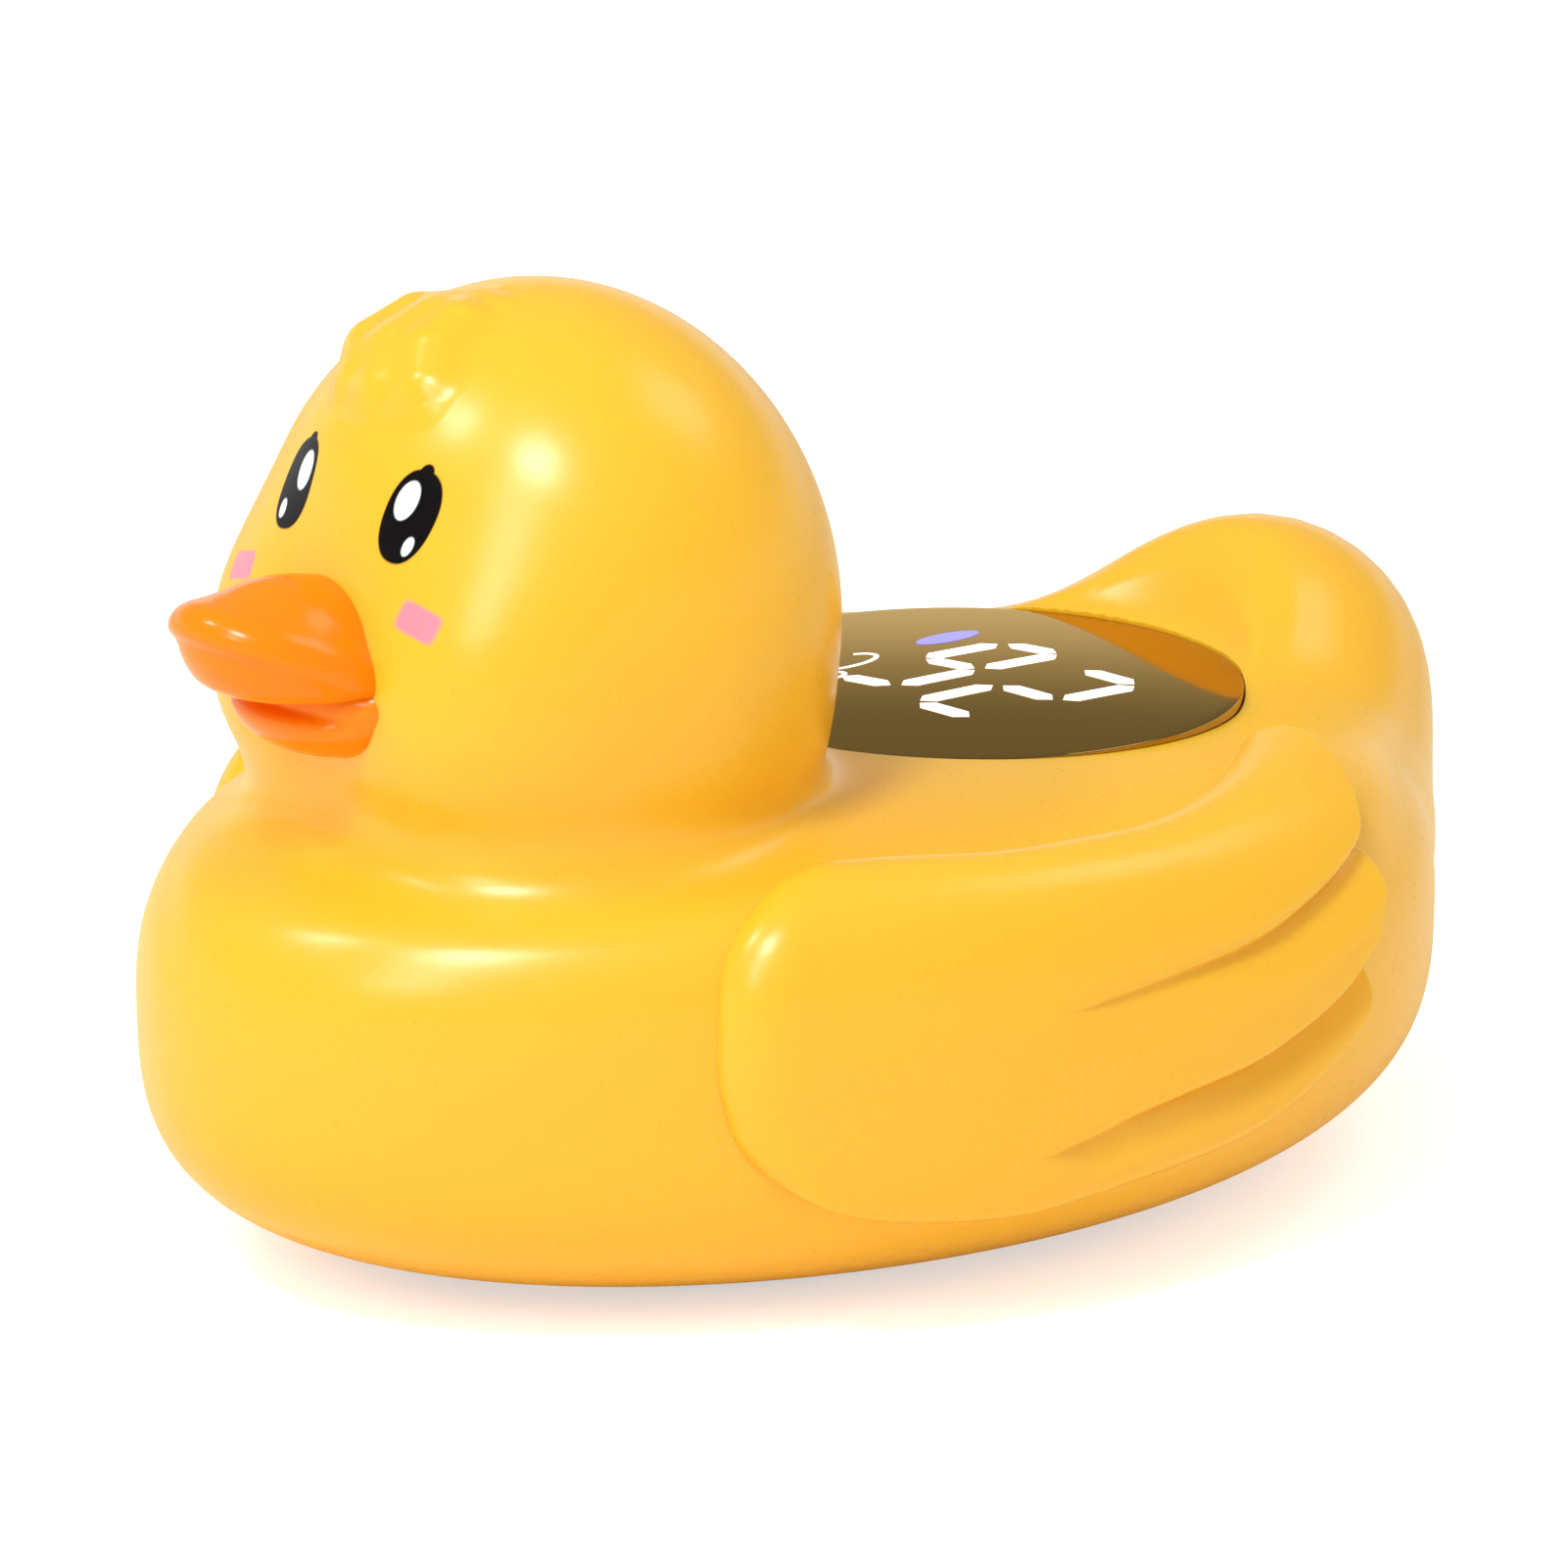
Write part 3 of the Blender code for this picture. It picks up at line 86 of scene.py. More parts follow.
def roundCone(p, first, last, firstR, lastR):
    # distance to a rod with round ends, whose radius changes along it
    first, last = np.array(first, float), np.array(last, float)
    axis = last - first
    along = np.clip(((p - first) @ axis) / (axis @ axis), 0, 1)
    return np.linalg.norm(p - first - along[..., None] * axis, axis=-1) - (firstR + (lastR - firstR) * along)


def gradient(field, p, e=0.03):
    # slope of a field, from its values a little behind and ahead of each place
    n = np.zeros_like(p)
    for i in range(3):
        d = np.zeros(3)
        d[i] = e
        n[..., i] = field(p + d) - field(p - d)
    return n / (2 * e)


def firstHit(field, origin, direction, reach, steps=64, rounds=18):
    # distance along each ray at which it first leaves the solid
    t = np.linspace(0, reach, steps)
    value = field(origin[..., None, :] + direction[..., None, :] * t[:, None])
    out = np.argmax(value > 0, axis=-1)
    low, high = t[np.maximum(out - 1, 0)], t[out]
    for _ in range(rounds):
        mid = (low + high) / 2
        inside = field(origin + direction * mid[..., None]) < 0
        low = np.where(inside, mid, low)
        high = np.where(inside, high, mid)
    return (low + high) / 2


def settle(field, p, rounds=4, stride=1.5):
    # walks points onto the surface along the field's own slope
    for _ in range(rounds):
        g = gradient(field, p)
        slope = np.maximum((g * g).sum(-1, keepdims=True), 0.05)
        p = p - np.clip(field(p)[..., None] / slope, -stride, stride) * g
    return p


def turnBetween(a, b, t):
    # directions that turn evenly from a to b
    angle = np.arccos(np.clip((a * b).sum(-1), -1, 1))[..., None]
    s = np.maximum(np.sin(angle), 1e-6)
    return (np.sin((1 - t) * angle) * a + np.sin(t * angle) * b) / s


# Meshes


def addMesh(name, points, faces, mat, sharp=40):
    # a piece from points in millimetres, shaded smooth except where faces meet at more than an angle
    mesh = bpy.data.meshes.new(name)
    mesh.from_pydata((np.asarray(points) * mm).tolist(), [], faces)
    mesh.validate()
    mesh.materials.append(mat)
    mesh.shade_smooth()
    mesh.set_sharp_from_angle(angle=math.radians(sharp))
    piece = bpy.data.objects.new(name, mesh)
    bpy.context.scene.collection.objects.link(piece)
    return piece


def gridFaces(rows, columns, wrap=True, start=0, flip=False):
    # quads between rows of points, closed round the columns if wrap is set
    r = np.arange(rows - 1)[:, None] * columns + start
    c = np.arange(columns if wrap else columns - 1)[None]
    n = (c + 1) % columns
    quads = np.stack([r + c, r + n, r + n + columns, r + c + columns], -1).reshape(-1, 4)
    return (quads[:, ::-1] if flip else quads).tolist()


def readPoints(mesh):
    # a mesh's points in millimetres
    flat = np.zeros(len(mesh.vertices) * 3, np.float32)
    mesh.vertices.foreach_get("co", flat)
    return flat.reshape(-1, 3).astype(float) / mm


def mergeNear(mesh, distance=1e-7):
    # joins doubled points, drops faces without area and turns the rest outwards
    work = bmesh.new()
    work.from_mesh(mesh)
    bmesh.ops.remove_doubles(work, verts=work.verts, dist=distance)
    bmesh.ops.dissolve_degenerate(work, edges=work.edges, dist=distance)
    bmesh.ops.recalc_face_normals(work, faces=work.faces)
    work.to_mesh(mesh)
    work.free()


def triangleCount(mesh):
    return sum(len(f.vertices) - 2 for f in mesh.polygons)


def fieldNormals(mesh, field, near=0.02, alike=0.75):
    # shades a cut mesh by the slope of the field it lies on, and its cut walls by their own faces
    points = readPoints(mesh)
    slope = unitRows(gradient(field, points))
    onSkin = np.abs(field(points)) < near
    corner = np.zeros(len(mesh.loops), np.int32)
    mesh.loops.foreach_get("vertex_index", corner)
    flat = np.zeros(len(mesh.polygons) * 3, np.float32)
    mesh.polygons.foreach_get("normal", flat)
    sides = np.zeros(len(mesh.polygons), np.int32)
    mesh.polygons.foreach_get("loop_total", sides)
    face = np.repeat(flat.reshape(-1, 3), sides, axis=0)
    soft = slope[corner]
    keep = onSkin[corner] & ((soft * face).sum(-1) > alike)
    mesh.normals_split_custom_set(np.where(keep[:, None], soft, face).tolist())


def turned(name, profile, mat, centre=(0, 0, 0), columns=192, sharp=30):
    # a profile of (radius, height) points carried round an upright axis, closed where it meets the axis
    ring = turnSteps(columns)
    profile = np.array(profile, float)
    x = profile[:, :1] * np.cos(ring)
    y = profile[:, :1] * np.sin(ring)
    z = np.broadcast_to(profile[:, 1:], x.shape)
    points = np.stack([x, y, z], -1).reshape(-1, 3) + np.array(centre, float)
    piece = addMesh(name, points, gridFaces(len(profile), columns), mat, sharp)
    mergeNear(piece.data)
    piece.data.set_sharp_from_angle(angle=math.radians(sharp))
    return piece


# Shader groups and materials

moulding = {"cloudScale": 55.0, "cloudDetail": 3.0, "grainScale": 1900.0, "grainDetail": 2.0,
            "bumpDepth": 0.0002}


def feed(tree, socket, value):
    # links a socket to another one, or gives it a value
    if isinstance(value, bpy.types.NodeSocket):
        tree.links.new(value, socket)
    else:
        socket.default_value = value


def node(tree, kind, settings=None, **inputs):
    # adds a node, sets its options and feeds its sockets, which go by name or as n and their number
    made = tree.nodes.new(kind)
    for key, value in (settings or {}).items():
        setattr(made, key, value)
    for key, value in inputs.items():
        numbered = key[0] == "n" and key[1:].isdigit()
        feed(tree, made.inputs[int(key[1:]) if numbered else key.replace("_", " ")], value)
    return made


def math2(tree, operation, a, b=0.0):
    return node(tree, "ShaderNodeMath", {"operation": operation}, n0=a, n1=b).outputs[0]


def vector2(tree, operation, a, b):
    return node(tree, "ShaderNodeVectorMath", {"operation": operation}, n0=a, n1=b)


def mixColour(tree, amount, a, b):
    return node(tree, "ShaderNodeMix", {"data_type": "RGBA"}, n0=amount, n6=a, n7=b).outputs[2]


def makeMouldedGroup():
    # moulded plastic: faint clouds in the colour, a fine grain in the gloss and a shallow bump
    tree = bpy.data.node_groups.new("mouldedPlastic", "ShaderNodeTree")
    inputs = [("Vector", "NodeSocketVector", (0, 0, 0)), ("Colour", "NodeSocketColor", (1, 1, 1, 1)),
              ("Deep Colour", "NodeSocketColor", (1, 1, 1, 1)), ("Cloud", "NodeSocketFloat", 0.3),
              ("Gloss", "NodeSocketFloat", 0.3), ("Grain", "NodeSocketFloat", 0.03),
              ("Relief", "NodeSocketFloat", 0.02)]
    for label, kind, value in inputs:
        tree.interface.new_socket(label, in_out="INPUT", socket_type=kind).default_value = value
    for label, kind in (("Colour", "NodeSocketColor"), ("Roughness", "NodeSocketFloat"),
                        ("Normal", "NodeSocketVector")):
        tree.interface.new_socket(label, in_out="OUTPUT", socket_type=kind)
    into = tree.nodes.new("NodeGroupInput").outputs
    out = tree.nodes.new("NodeGroupOutput").inputs
    cloud = node(tree, "ShaderNodeTexNoise", None, Vector=into["Vector"], Scale=moulding["cloudScale"],
                 Detail=moulding["cloudDetail"])
    fine = node(tree, "ShaderNodeTexNoise", None, Vector=into["Vector"], Scale=moulding["grainScale"],
                Detail=moulding["grainDetail"])
    depth = math2(tree, "MULTIPLY", cloud.outputs["Fac"], into["Cloud"])
    tree.links.new(mixColour(tree, depth, into["Colour"], into["Deep Colour"]), out["Colour"])
    grain = math2(tree, "MULTIPLY", math2(tree, "SUBTRACT", fine.outputs["Fac"], 0.5), into["Grain"])
    tree.links.new(math2(tree, "ADD", grain, into["Gloss"]), out["Roughness"])
    bump = node(tree, "ShaderNodeBump", None, Strength=into["Relief"], Distance=moulding["bumpDepth"],
                Height=fine.outputs["Fac"])
    tree.links.new(bump.outputs[0], out["Normal"])
    return tree


moulded = makeMouldedGroup()
palette = {
    "yellow": (0.96, 0.515, 0.026, 1), "yellowDeep": (0.95, 0.475, 0.020, 1),
    "orange": (0.97, 0.255, 0.002, 1), "orangeDeep": (0.90, 0.19, 0.001, 1),
    "smoke": (0.43, 0.25, 0.06, 1), "smokeDeep": (0.41, 0.235, 0.052, 1),
    "blush": (1.0, 0.24, 0.42, 1), "ink": (0.004, 0.003, 0.003, 1), "glint": (0.88, 0.92, 1.0, 1),
    "lit": (0.95, 0.95, 0.96, 1), "litDeep": (0.9, 0.9, 0.92, 1),
    "violet": (0.22, 0.20, 1.0, 1), "violetDeep": (0.2, 0.18, 0.95, 1),
}
softYellow = {"Subsurface_Weight": 0.25, "Subsurface_Radius": (1.0, 0.45, 0.12), "Subsurface_Scale": 0.004}
softOrange = {"Subsurface_Weight": 0.15, "Subsurface_Radius": (1.0, 0.3, 0.05), "Subsurface_Scale": 0.003}


def plastic(name, colour, deep=None, gloss=0.35, cloud=0.3, grain=0.04, relief=0.03, metal=0.0, glow=0.0):
    # a Principled material fed by the moulded group, read in Object coordinates
    mat = bpy.data.materials.new(name)
    mat.use_nodes = True
    tree = mat.node_tree
    shader = tree.nodes["Principled BSDF"]
    place = tree.nodes.new("ShaderNodeTexCoord").outputs["Object"]
    look = node(tree, "ShaderNodeGroup", {"node_tree": moulded}, Vector=place, Colour=colour,
                Deep_Colour=deep or tuple(0.8 * c for c in colour[:3]) + (1,), Cloud=cloud, Gloss=gloss,
                Grain=grain, Relief=relief)
    tree.links.new(look.outputs["Colour"], shader.inputs["Base Color"])
    tree.links.new(look.outputs["Roughness"], shader.inputs["Roughness"])
    tree.links.new(look.outputs["Normal"], shader.inputs["Normal"])
    shader.inputs["Metallic"].default_value = metal
    if glow:
        tree.links.new(look.outputs["Colour"], shader.inputs["Emission Color"])
        shader.inputs["Emission Strength"].default_value = glow
    return mat


def setShader(mat, **inputs):
    # gives a material's shader values of its own
    shader = mat.node_tree.nodes["Principled BSDF"]
    for key, value in inputs.items():
        shader.inputs[key.replace("_", " ")].default_value = value


# Printed face: eyes with two glints and a lash tick, and a blush patch, mirrored left to right

face = {
    "eyeAt": (6.75, -44.4, 56.6), "blushAt": (10.5, -46.4, 50.2), "blushShare": 0.86, "inFrontBy": 4.0,
    "plainShine": 0.5, "inkDulls": 0.36,
    # each spot's place beside its own centre, half sizes, lean in degrees, soft edge and power
    "ball": ((0, 0), (2.2, 3.4), 12.0, 0.035, 2.3),
    "tick": ((0.45, 3.1), (0.6, 0.7), 22.0, 0.12, 2.0),
    "glint": ((-0.5, 1.05), (0.92, 1.45), 16.0, 0.08, 2.0),
    "smallGlint": ((0.55, -2.05), (0.44, 0.72), 18.0, 0.12, 2.0),
    "blush": ((0, 0), (1.75, 1.05), 16.0, 0.16, 6.0),
}


def faceAxes(centre):
    # side and up directions in the head's surface at a place
    out = unitRows(gradient(skinField, np.array(centre, float)))
    side = unitRows(np.cross(np.array([0, 0, 1.0]), out))
    return side, np.cross(out, side)


def spotMask(tree, flat, at, size, lean, edge, power):
    # mask of a leaning oval, or of a rounded box for a high power, in the flat coordinates of one place
    c, s = math.cos(math.radians(lean)), math.sin(math.radians(lean))
    x = math2(tree, "SUBTRACT", flat[0], at[0])
    y = math2(tree, "SUBTRACT", flat[1], at[1])
    u = math2(tree, "ADD", math2(tree, "MULTIPLY", x, c / size[0]), math2(tree, "MULTIPLY", y, -s / size[0]))
    v = math2(tree, "ADD", math2(tree, "MULTIPLY", x, s / size[1]), math2(tree, "MULTIPLY", y, c / size[1]))
    u = math2(tree, "POWER", math2(tree, "ABSOLUTE", u), power)
    v = math2(tree, "POWER", math2(tree, "ABSOLUTE", v), power)
    far = math2(tree, "POWER", math2(tree, "ADD", u, v), 1.0 / power)
    ramp = node(tree, "ShaderNodeMapRange", {"interpolation_type": "SMOOTHSTEP"}, Value=far,
                n1=1.0 + edge, n2=1.0 - edge, n3=0.0, n4=1.0)
    return ramp.outputs[0]


def flatPlace(tree, place, centre):
    # places in millimetres along the side and up directions of one spot, the same on both sides of the face
    split = node(tree, "ShaderNodeSeparateXYZ", None, Vector=place)
    joined = node(tree, "ShaderNodeCombineXYZ", None, X=math2(tree, "ABSOLUTE", split.outputs[0]),
                  Y=split.outputs[1], Z=split.outputs[2])
    moved = vector2(tree, "SUBTRACT", joined.outputs[0], tuple(float(c) * mm for c in centre)).outputs[0]
    made = []
    for axis in faceAxes(centre):
        along = vector2(tree, "DOT_PRODUCT", moved, tuple(float(a) for a in axis)).outputs["Value"]
        made.append(math2(tree, "MULTIPLY", along, 1 / mm))
    return made


def printFace(mat):
    # lays the printed spots over the colour that the shader has, and takes shine off the ink
    tree = mat.node_tree
    shader = tree.nodes["Principled BSDF"]
    place = tree.nodes["Texture Coordinate"].outputs["Object"]
    colour = shader.inputs["Base Color"].links[0].from_socket
    eye = flatPlace(tree, place, face["eyeAt"])
    cheek = flatPlace(tree, place, face["blushAt"])
    split = node(tree, "ShaderNodeSeparateXYZ", None, Vector=place)
    front = math2(tree, "LESS_THAN", split.outputs[1], (head["y"] - face["inFrontBy"]) * mm)
    spots = ("ball", "tick", "glint", "smallGlint")
    ball, tick, glint, smallGlint = (spotMask(tree, eye, *face[spot]) for spot in spots)
    blush = math2(tree, "MULTIPLY", spotMask(tree, cheek, *face["blush"]), front)
    colour = mixColour(tree, math2(tree, "MULTIPLY", blush, face["blushShare"]), colour, palette["blush"])
    dark = math2(tree, "MULTIPLY", math2(tree, "MAXIMUM", ball, tick), front)
    colour = mixColour(tree, dark, colour, palette["ink"])
    light = math2(tree, "MULTIPLY", math2(tree, "MAXIMUM", glint, smallGlint), dark)
    tree.links.new(mixColour(tree, light, colour, palette["glint"]), shader.inputs["Base Color"])
    shine = math2(tree, "SUBTRACT", face["plainShine"], math2(tree, "MULTIPLY", dark, face["inkDulls"]))
    tree.links.new(shine, shader.inputs["Specular IOR Level"])


# Duck skin: the same body, rump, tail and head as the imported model, on a fine grid

body = {"y": -5.5, "halfLength": 52.3, "halfWidth": 40.3, "depth": 19.5, "midZ": 17.9, "taper": 0.18,
        "roundUp": 2.8, "roundLow": 3.06, "deckZ": 33.2, "deckBlend": 5.0, "footBlend": 1.5,
        "rumpAt": (0, 35.1, 19.2), "rumpSize": (19.1, 17.3, 14.5), "rumpBlend": 8.0,
        "tailAt": (0, 44.3, 28.4), "tailSize": (12.6, 13.2, 12.2), "tailBlend": 7.6,
        "wall": 2.2, "gap": 0.3, "opening": (18.5, 25.9), "ledge": 4.9, "footRing": 1.4, "chamfer": 0.35,
        "plateThick": 2.6, "rimHeight": 9.0, "rimShare": 0.9}
head = {"y": -26.7, "z": 45.8, "size": (23.0, 19.4, 23.2),
        "cheekAt": (8.0, -36.1, 42.4), "cheekR": 11.3, "cheekBlend": 4.8,
        "neckSize": (18.8, 16.6), "neckY": -27.0, "neckMid": 30.0, "neckTop": 38.0, "neckEdge": 5.0,
        "neckToHead": 6.0, "neckZ": 34.1, "neckToBody": (3.5, 4.6), "neckToBodyFrom": (-20.0, -38.0)}
window = {"y": 13.1, "r": 21.38, "hole": 21.5, "thick": 1.6, "top": 33.08, "dome": 0.45, "edge": 0.15,
          "cutDown": 7.0, "cutUp": 2.5}
valley = {"start": 1.2, "slope": 1.5, "blend": 3.0, "edgeBlend": 0.4, "blendFrom": (0.3, 5.0),
          "endFrom": (2.0, -12.0), "endBy": 30.0}
tuft = {"r": 2.7, "sink": 1.0, "blend": 1.6, "shares": (0.35, 0.85, 1.0, 0.85, 0.42),
        "curls": [((-1.6, 77), (-5.8, 69), (-6.6, 59), (-4.8, 50.5), (-1.2, 46)),
                  ((-0.4, 75), (-2.4, 67), (-2.9, 58), (-1.4, 50), (0.8, 47)),
                  ((0.9, 75), (0.4, 67), (0.6, 59), (2.2, 52), (3.4, 48))]}
# rays that meet the skin: where they start, and for each wall the first ray's share and the counts of rings
rays = {"columns": 336, "rows": 232, "reach": 85.0, "lowBy": (-2.5, -1.9), "middleBy": 5.0, "middleZ": 27.0,
        "highBy": -0.8, "crownUp": 30.0, "topUp": 24.0, "riseFrom": 0.5, "neckShare": 0.97,
        "headShares": (0.05, 0.985), "outer": (0.03, 44, 26), "inner": (0.12, 22, 13)}


def bodyField(p):
    # below zero inside a squared-off ellipsoid, flat above and below
    x, y, z = p[..., 0], p[..., 1] - body["y"], p[..., 2]
    halfWidth = body["halfWidth"] * (1 + body["taper"] * y / body["halfLength"])
    power = np.where(z > body["midZ"], body["roundUp"], body["roundLow"])
    plan = ((x / halfWidth) ** 2 + (y / body["halfLength"]) ** 2) ** (power / 2)
    total = plan + (np.abs(z - body["midZ"]) / body["depth"]) ** power
    crown = (total ** (1 / power) - 1) * body["depth"]
    return softMax(softMax(crown, z - body["deckZ"], body["deckBlend"]), -z, body["footBlend"])


def headField(p):
    # below zero inside a ball with two cheeks, on a short neck and with the curls laid on its top
    ball = ellipsoid(p, (0, head["y"], head["z"]), head["size"])
    x, y, z = head["cheekAt"]
    cheeks = [np.linalg.norm(p - np.array([side * x, y, z]), axis=-1) - head["cheekR"] for side in (1, -1)]
    ball = softMin(ball, softMin(*cheeks, head["cheekBlend"]), head["cheekBlend"])
    wide, deep = head["neckSize"]
    around = np.hypot(p[..., 0] / wide, (p[..., 1] - head["neckY"]) / deep) - 1
    level = np.abs(p[..., 2] - head["neckMid"]) - (head["neckTop"] - head["neckMid"])
    ball = softMin(ball, softMax(around * deep, level, head["neckEdge"]), head["neckToHead"])
    for curl in tuft["curls"]:
        ball = softMin(ball, curlField(p, curl), tuft["blend"])
    return ball


def curlField(p, curl):
    # a curl that lies on the head, given by places across it and angles above its middle
    place = []
    for across, rise in curl:
        level = math.sqrt(1 - (across / head["size"][0]) ** 2)
        depth = (head["size"][1] - tuft["sink"]) * level * math.cos(math.radians(rise))
        height = (head["size"][2] - tuft["sink"]) * level * math.sin(math.radians(rise))
        place.append((across, head["y"] - depth, head["z"] + height))
    radius = [tuft["r"] * share for share in tuft["shares"]]
    return np.minimum.reduce([roundCone(p, *pair) for pair in zip(place, place[1:], radius, radius[1:])])


def valleyField(p):
    # above zero over the slope that rises from the window's rear edge to the tail, and its blend's width
    out = np.clip(np.hypot(p[..., 0], p[..., 1] - window["y"]) - window["hole"], 0, None)
    edgeBlend = valley["edgeBlend"]
    soft = edgeBlend + (valley["blend"] - edgeBlend) * smoothStep(*valley["blendFrom"], out)
    out = np.sqrt(out ** 2 + valley["start"] ** 2) - valley["start"]
    front = smoothStep(*valley["endFrom"], p[..., 1] - window["y"])
    lift = (p[..., 2] - body["deckZ"] - valley["slope"] * out) / math.hypot(1, valley["slope"])
    return lift - valley["endBy"] * front, soft


def skinField(p):
    # the whole duck without bill and wings
    rump = softMax(ellipsoid(p, body["rumpAt"], body["rumpSize"]), -p[..., 2], body["footBlend"])
    whole = softMin(bodyField(p), rump, body["rumpBlend"])
    whole = softMin(whole, ellipsoid(p, body["tailAt"], body["tailSize"]), body["tailBlend"])
    whole = softMax(whole, *valleyField(p))
    rear, front = head["neckToBody"]
    blend = rear + (front - rear) * smoothStep(*head["neckToBodyFrom"], p[..., 1])
    return softMin(whole, headField(p), blend)


def ovalRing(size, y, z):
    # a ring of points on a level oval
    ring = turnSteps(rays["columns"])
    return np.stack([np.cos(ring) * size[0], np.sin(ring) * size[1] + y, np.full(rays["columns"], z)], -1)


def floorRing(grow, z):
    # the opening in the foot, grown by a width
    return ovalRing([half + grow for half in body["opening"]], body["y"], z)


def meridians(field, firstShare, lowCount, highCount):
    # rows of surface points from the foot to the crown: rays turn from ring to ring as their origin rises
    foot = floorRing(body["ledge"] + body["footRing"], 0.0)
    neck = ovalRing(head["neckSize"], head["y"], head["neckZ"])
    low = np.array([0.0, body["y"] + rays["lowBy"][0], body["midZ"] + rays["lowBy"][1]])
    middle = np.array([0.0, head["y"] + rays["middleBy"], rays["middleZ"]])
    high = np.array([0.0, head["y"], head["z"] + rays["highBy"]])
    crown = np.broadcast_to(high + np.array([0, 0, rays["crownUp"]]), neck.shape)
    rows = [foot]
    legs = [(low, middle, foot, neck, np.linspace(firstShare, rays["neckShare"], lowCount)),
            (high, high, neck, crown, np.linspace(*rays["headShares"], highCount))]
    for start, end, first, last, shares in legs:
        for t in shares:
            origin = start + (end - start) * smoothStep(rays["riseFrom"], 1.0, t)
            direction = turnBetween(unitRows(first - origin), unitRows(last - origin), t)
            spread = np.broadcast_to(origin, direction.shape)
            rows.append(spread + direction * firstHit(field, spread, direction, rays["reach"])[:, None])
    return np.stack(rows), high


def evenRows(rows, count):
    # the same meridians with their points spread evenly along each
    step = np.linalg.norm(np.diff(rows, axis=0), axis=-1)
    along = np.concatenate([np.zeros((1, rows.shape[1])), np.cumsum(step, axis=0)])
    made = np.zeros((count, rows.shape[1], 3))
    for c in range(rows.shape[1]):
        want = np.linspace(0, along[-1, c], count)
        for k in range(3):
            made[:, c, k] = np.interp(want, along[:, c], rows[:, c, k])
    return made


def makeSkin(mat):
    # an outer wall of even rows and an inner wall by rays of its own, joined round the opening in the foot
    coarse, high = meridians(skinField, *rays["outer"])
    rows = evenRows(coarse, rays["rows"])
    rows[1:] = settle(skinField, rows[1:])
    columns = rays["columns"]
    inner = meridians(lambda p: skinField(p) + body["wall"], *rays["inner"])[0][1:]
    plate, ledge, chamfer = body["plateThick"] + body["gap"], body["ledge"], body["chamfer"]
    below = [floorRing(0, plate), floorRing(ledge, plate), floorRing(ledge, chamfer),
             floorRing(ledge + chamfer, 0.0)]
    rim = [floorRing(ledge * body["rimShare"], body["rimHeight"]), floorRing(0, body["rimHeight"])]
    outside = np.concatenate([np.stack(below), rows])
    inside = np.concatenate([inner[::-1], np.stack(rim)])
    count = len(outside) * columns
    top = settle(skinField, high[None] + np.array([[0, 0, rays["topUp"]]]), 8)[0]
    poles = [top, top - [0, 0, body["wall"]]]
    points = np.concatenate([outside.reshape(-1, 3), poles, inside.reshape(-1, 3)])
    faces = gridFaces(len(outside), columns)
    last, first = count - columns, count + 2
    ring = np.arange(columns)
    after = (ring + 1) % columns
    faces += np.stack([last + ring, last + after, np.full(columns, count)], -1).tolist()
    faces += np.stack([np.full(columns, count + 1), first + after, first + ring], -1).tolist()
    faces += gridFaces(len(inside), columns, start=first)
    end = first + (len(inside) - 1) * columns
    faces += np.stack([end + ring, end + after, after, ring], -1).tolist()
    skin = addMesh("duck_skin", points, faces, mat, 60)
    print("skin", triangleCount(skin.data), "triangles")
    return skin


def cutWindow(piece, mat):
    # takes the window's round hole out of the deck
    low, high = window["top"] - window["cutDown"], window["top"] + window["cutUp"]
    profile = [(0, low), (window["hole"], low), (window["hole"], high), (0, high)]
    cutter = turned("window_cut", profile, mat, (0, window["y"], 0), 256)
    step = piece.modifiers.new("cut", "BOOLEAN")
    step.operation = "DIFFERENCE"
    step.solver = "EXACT"
    step.object = cutter
    bpy.context.view_layer.update()
    made = bpy.data.meshes.new_from_object(piece.evaluated_get(bpy.context.evaluated_depsgraph_get()))
    piece.modifiers.clear()
    piece.data = made
    bpy.data.objects.remove(cutter)
    print("window cut")


# Wings: three shingled feathers in one pad, drawn in plan angle and height angle from one centre

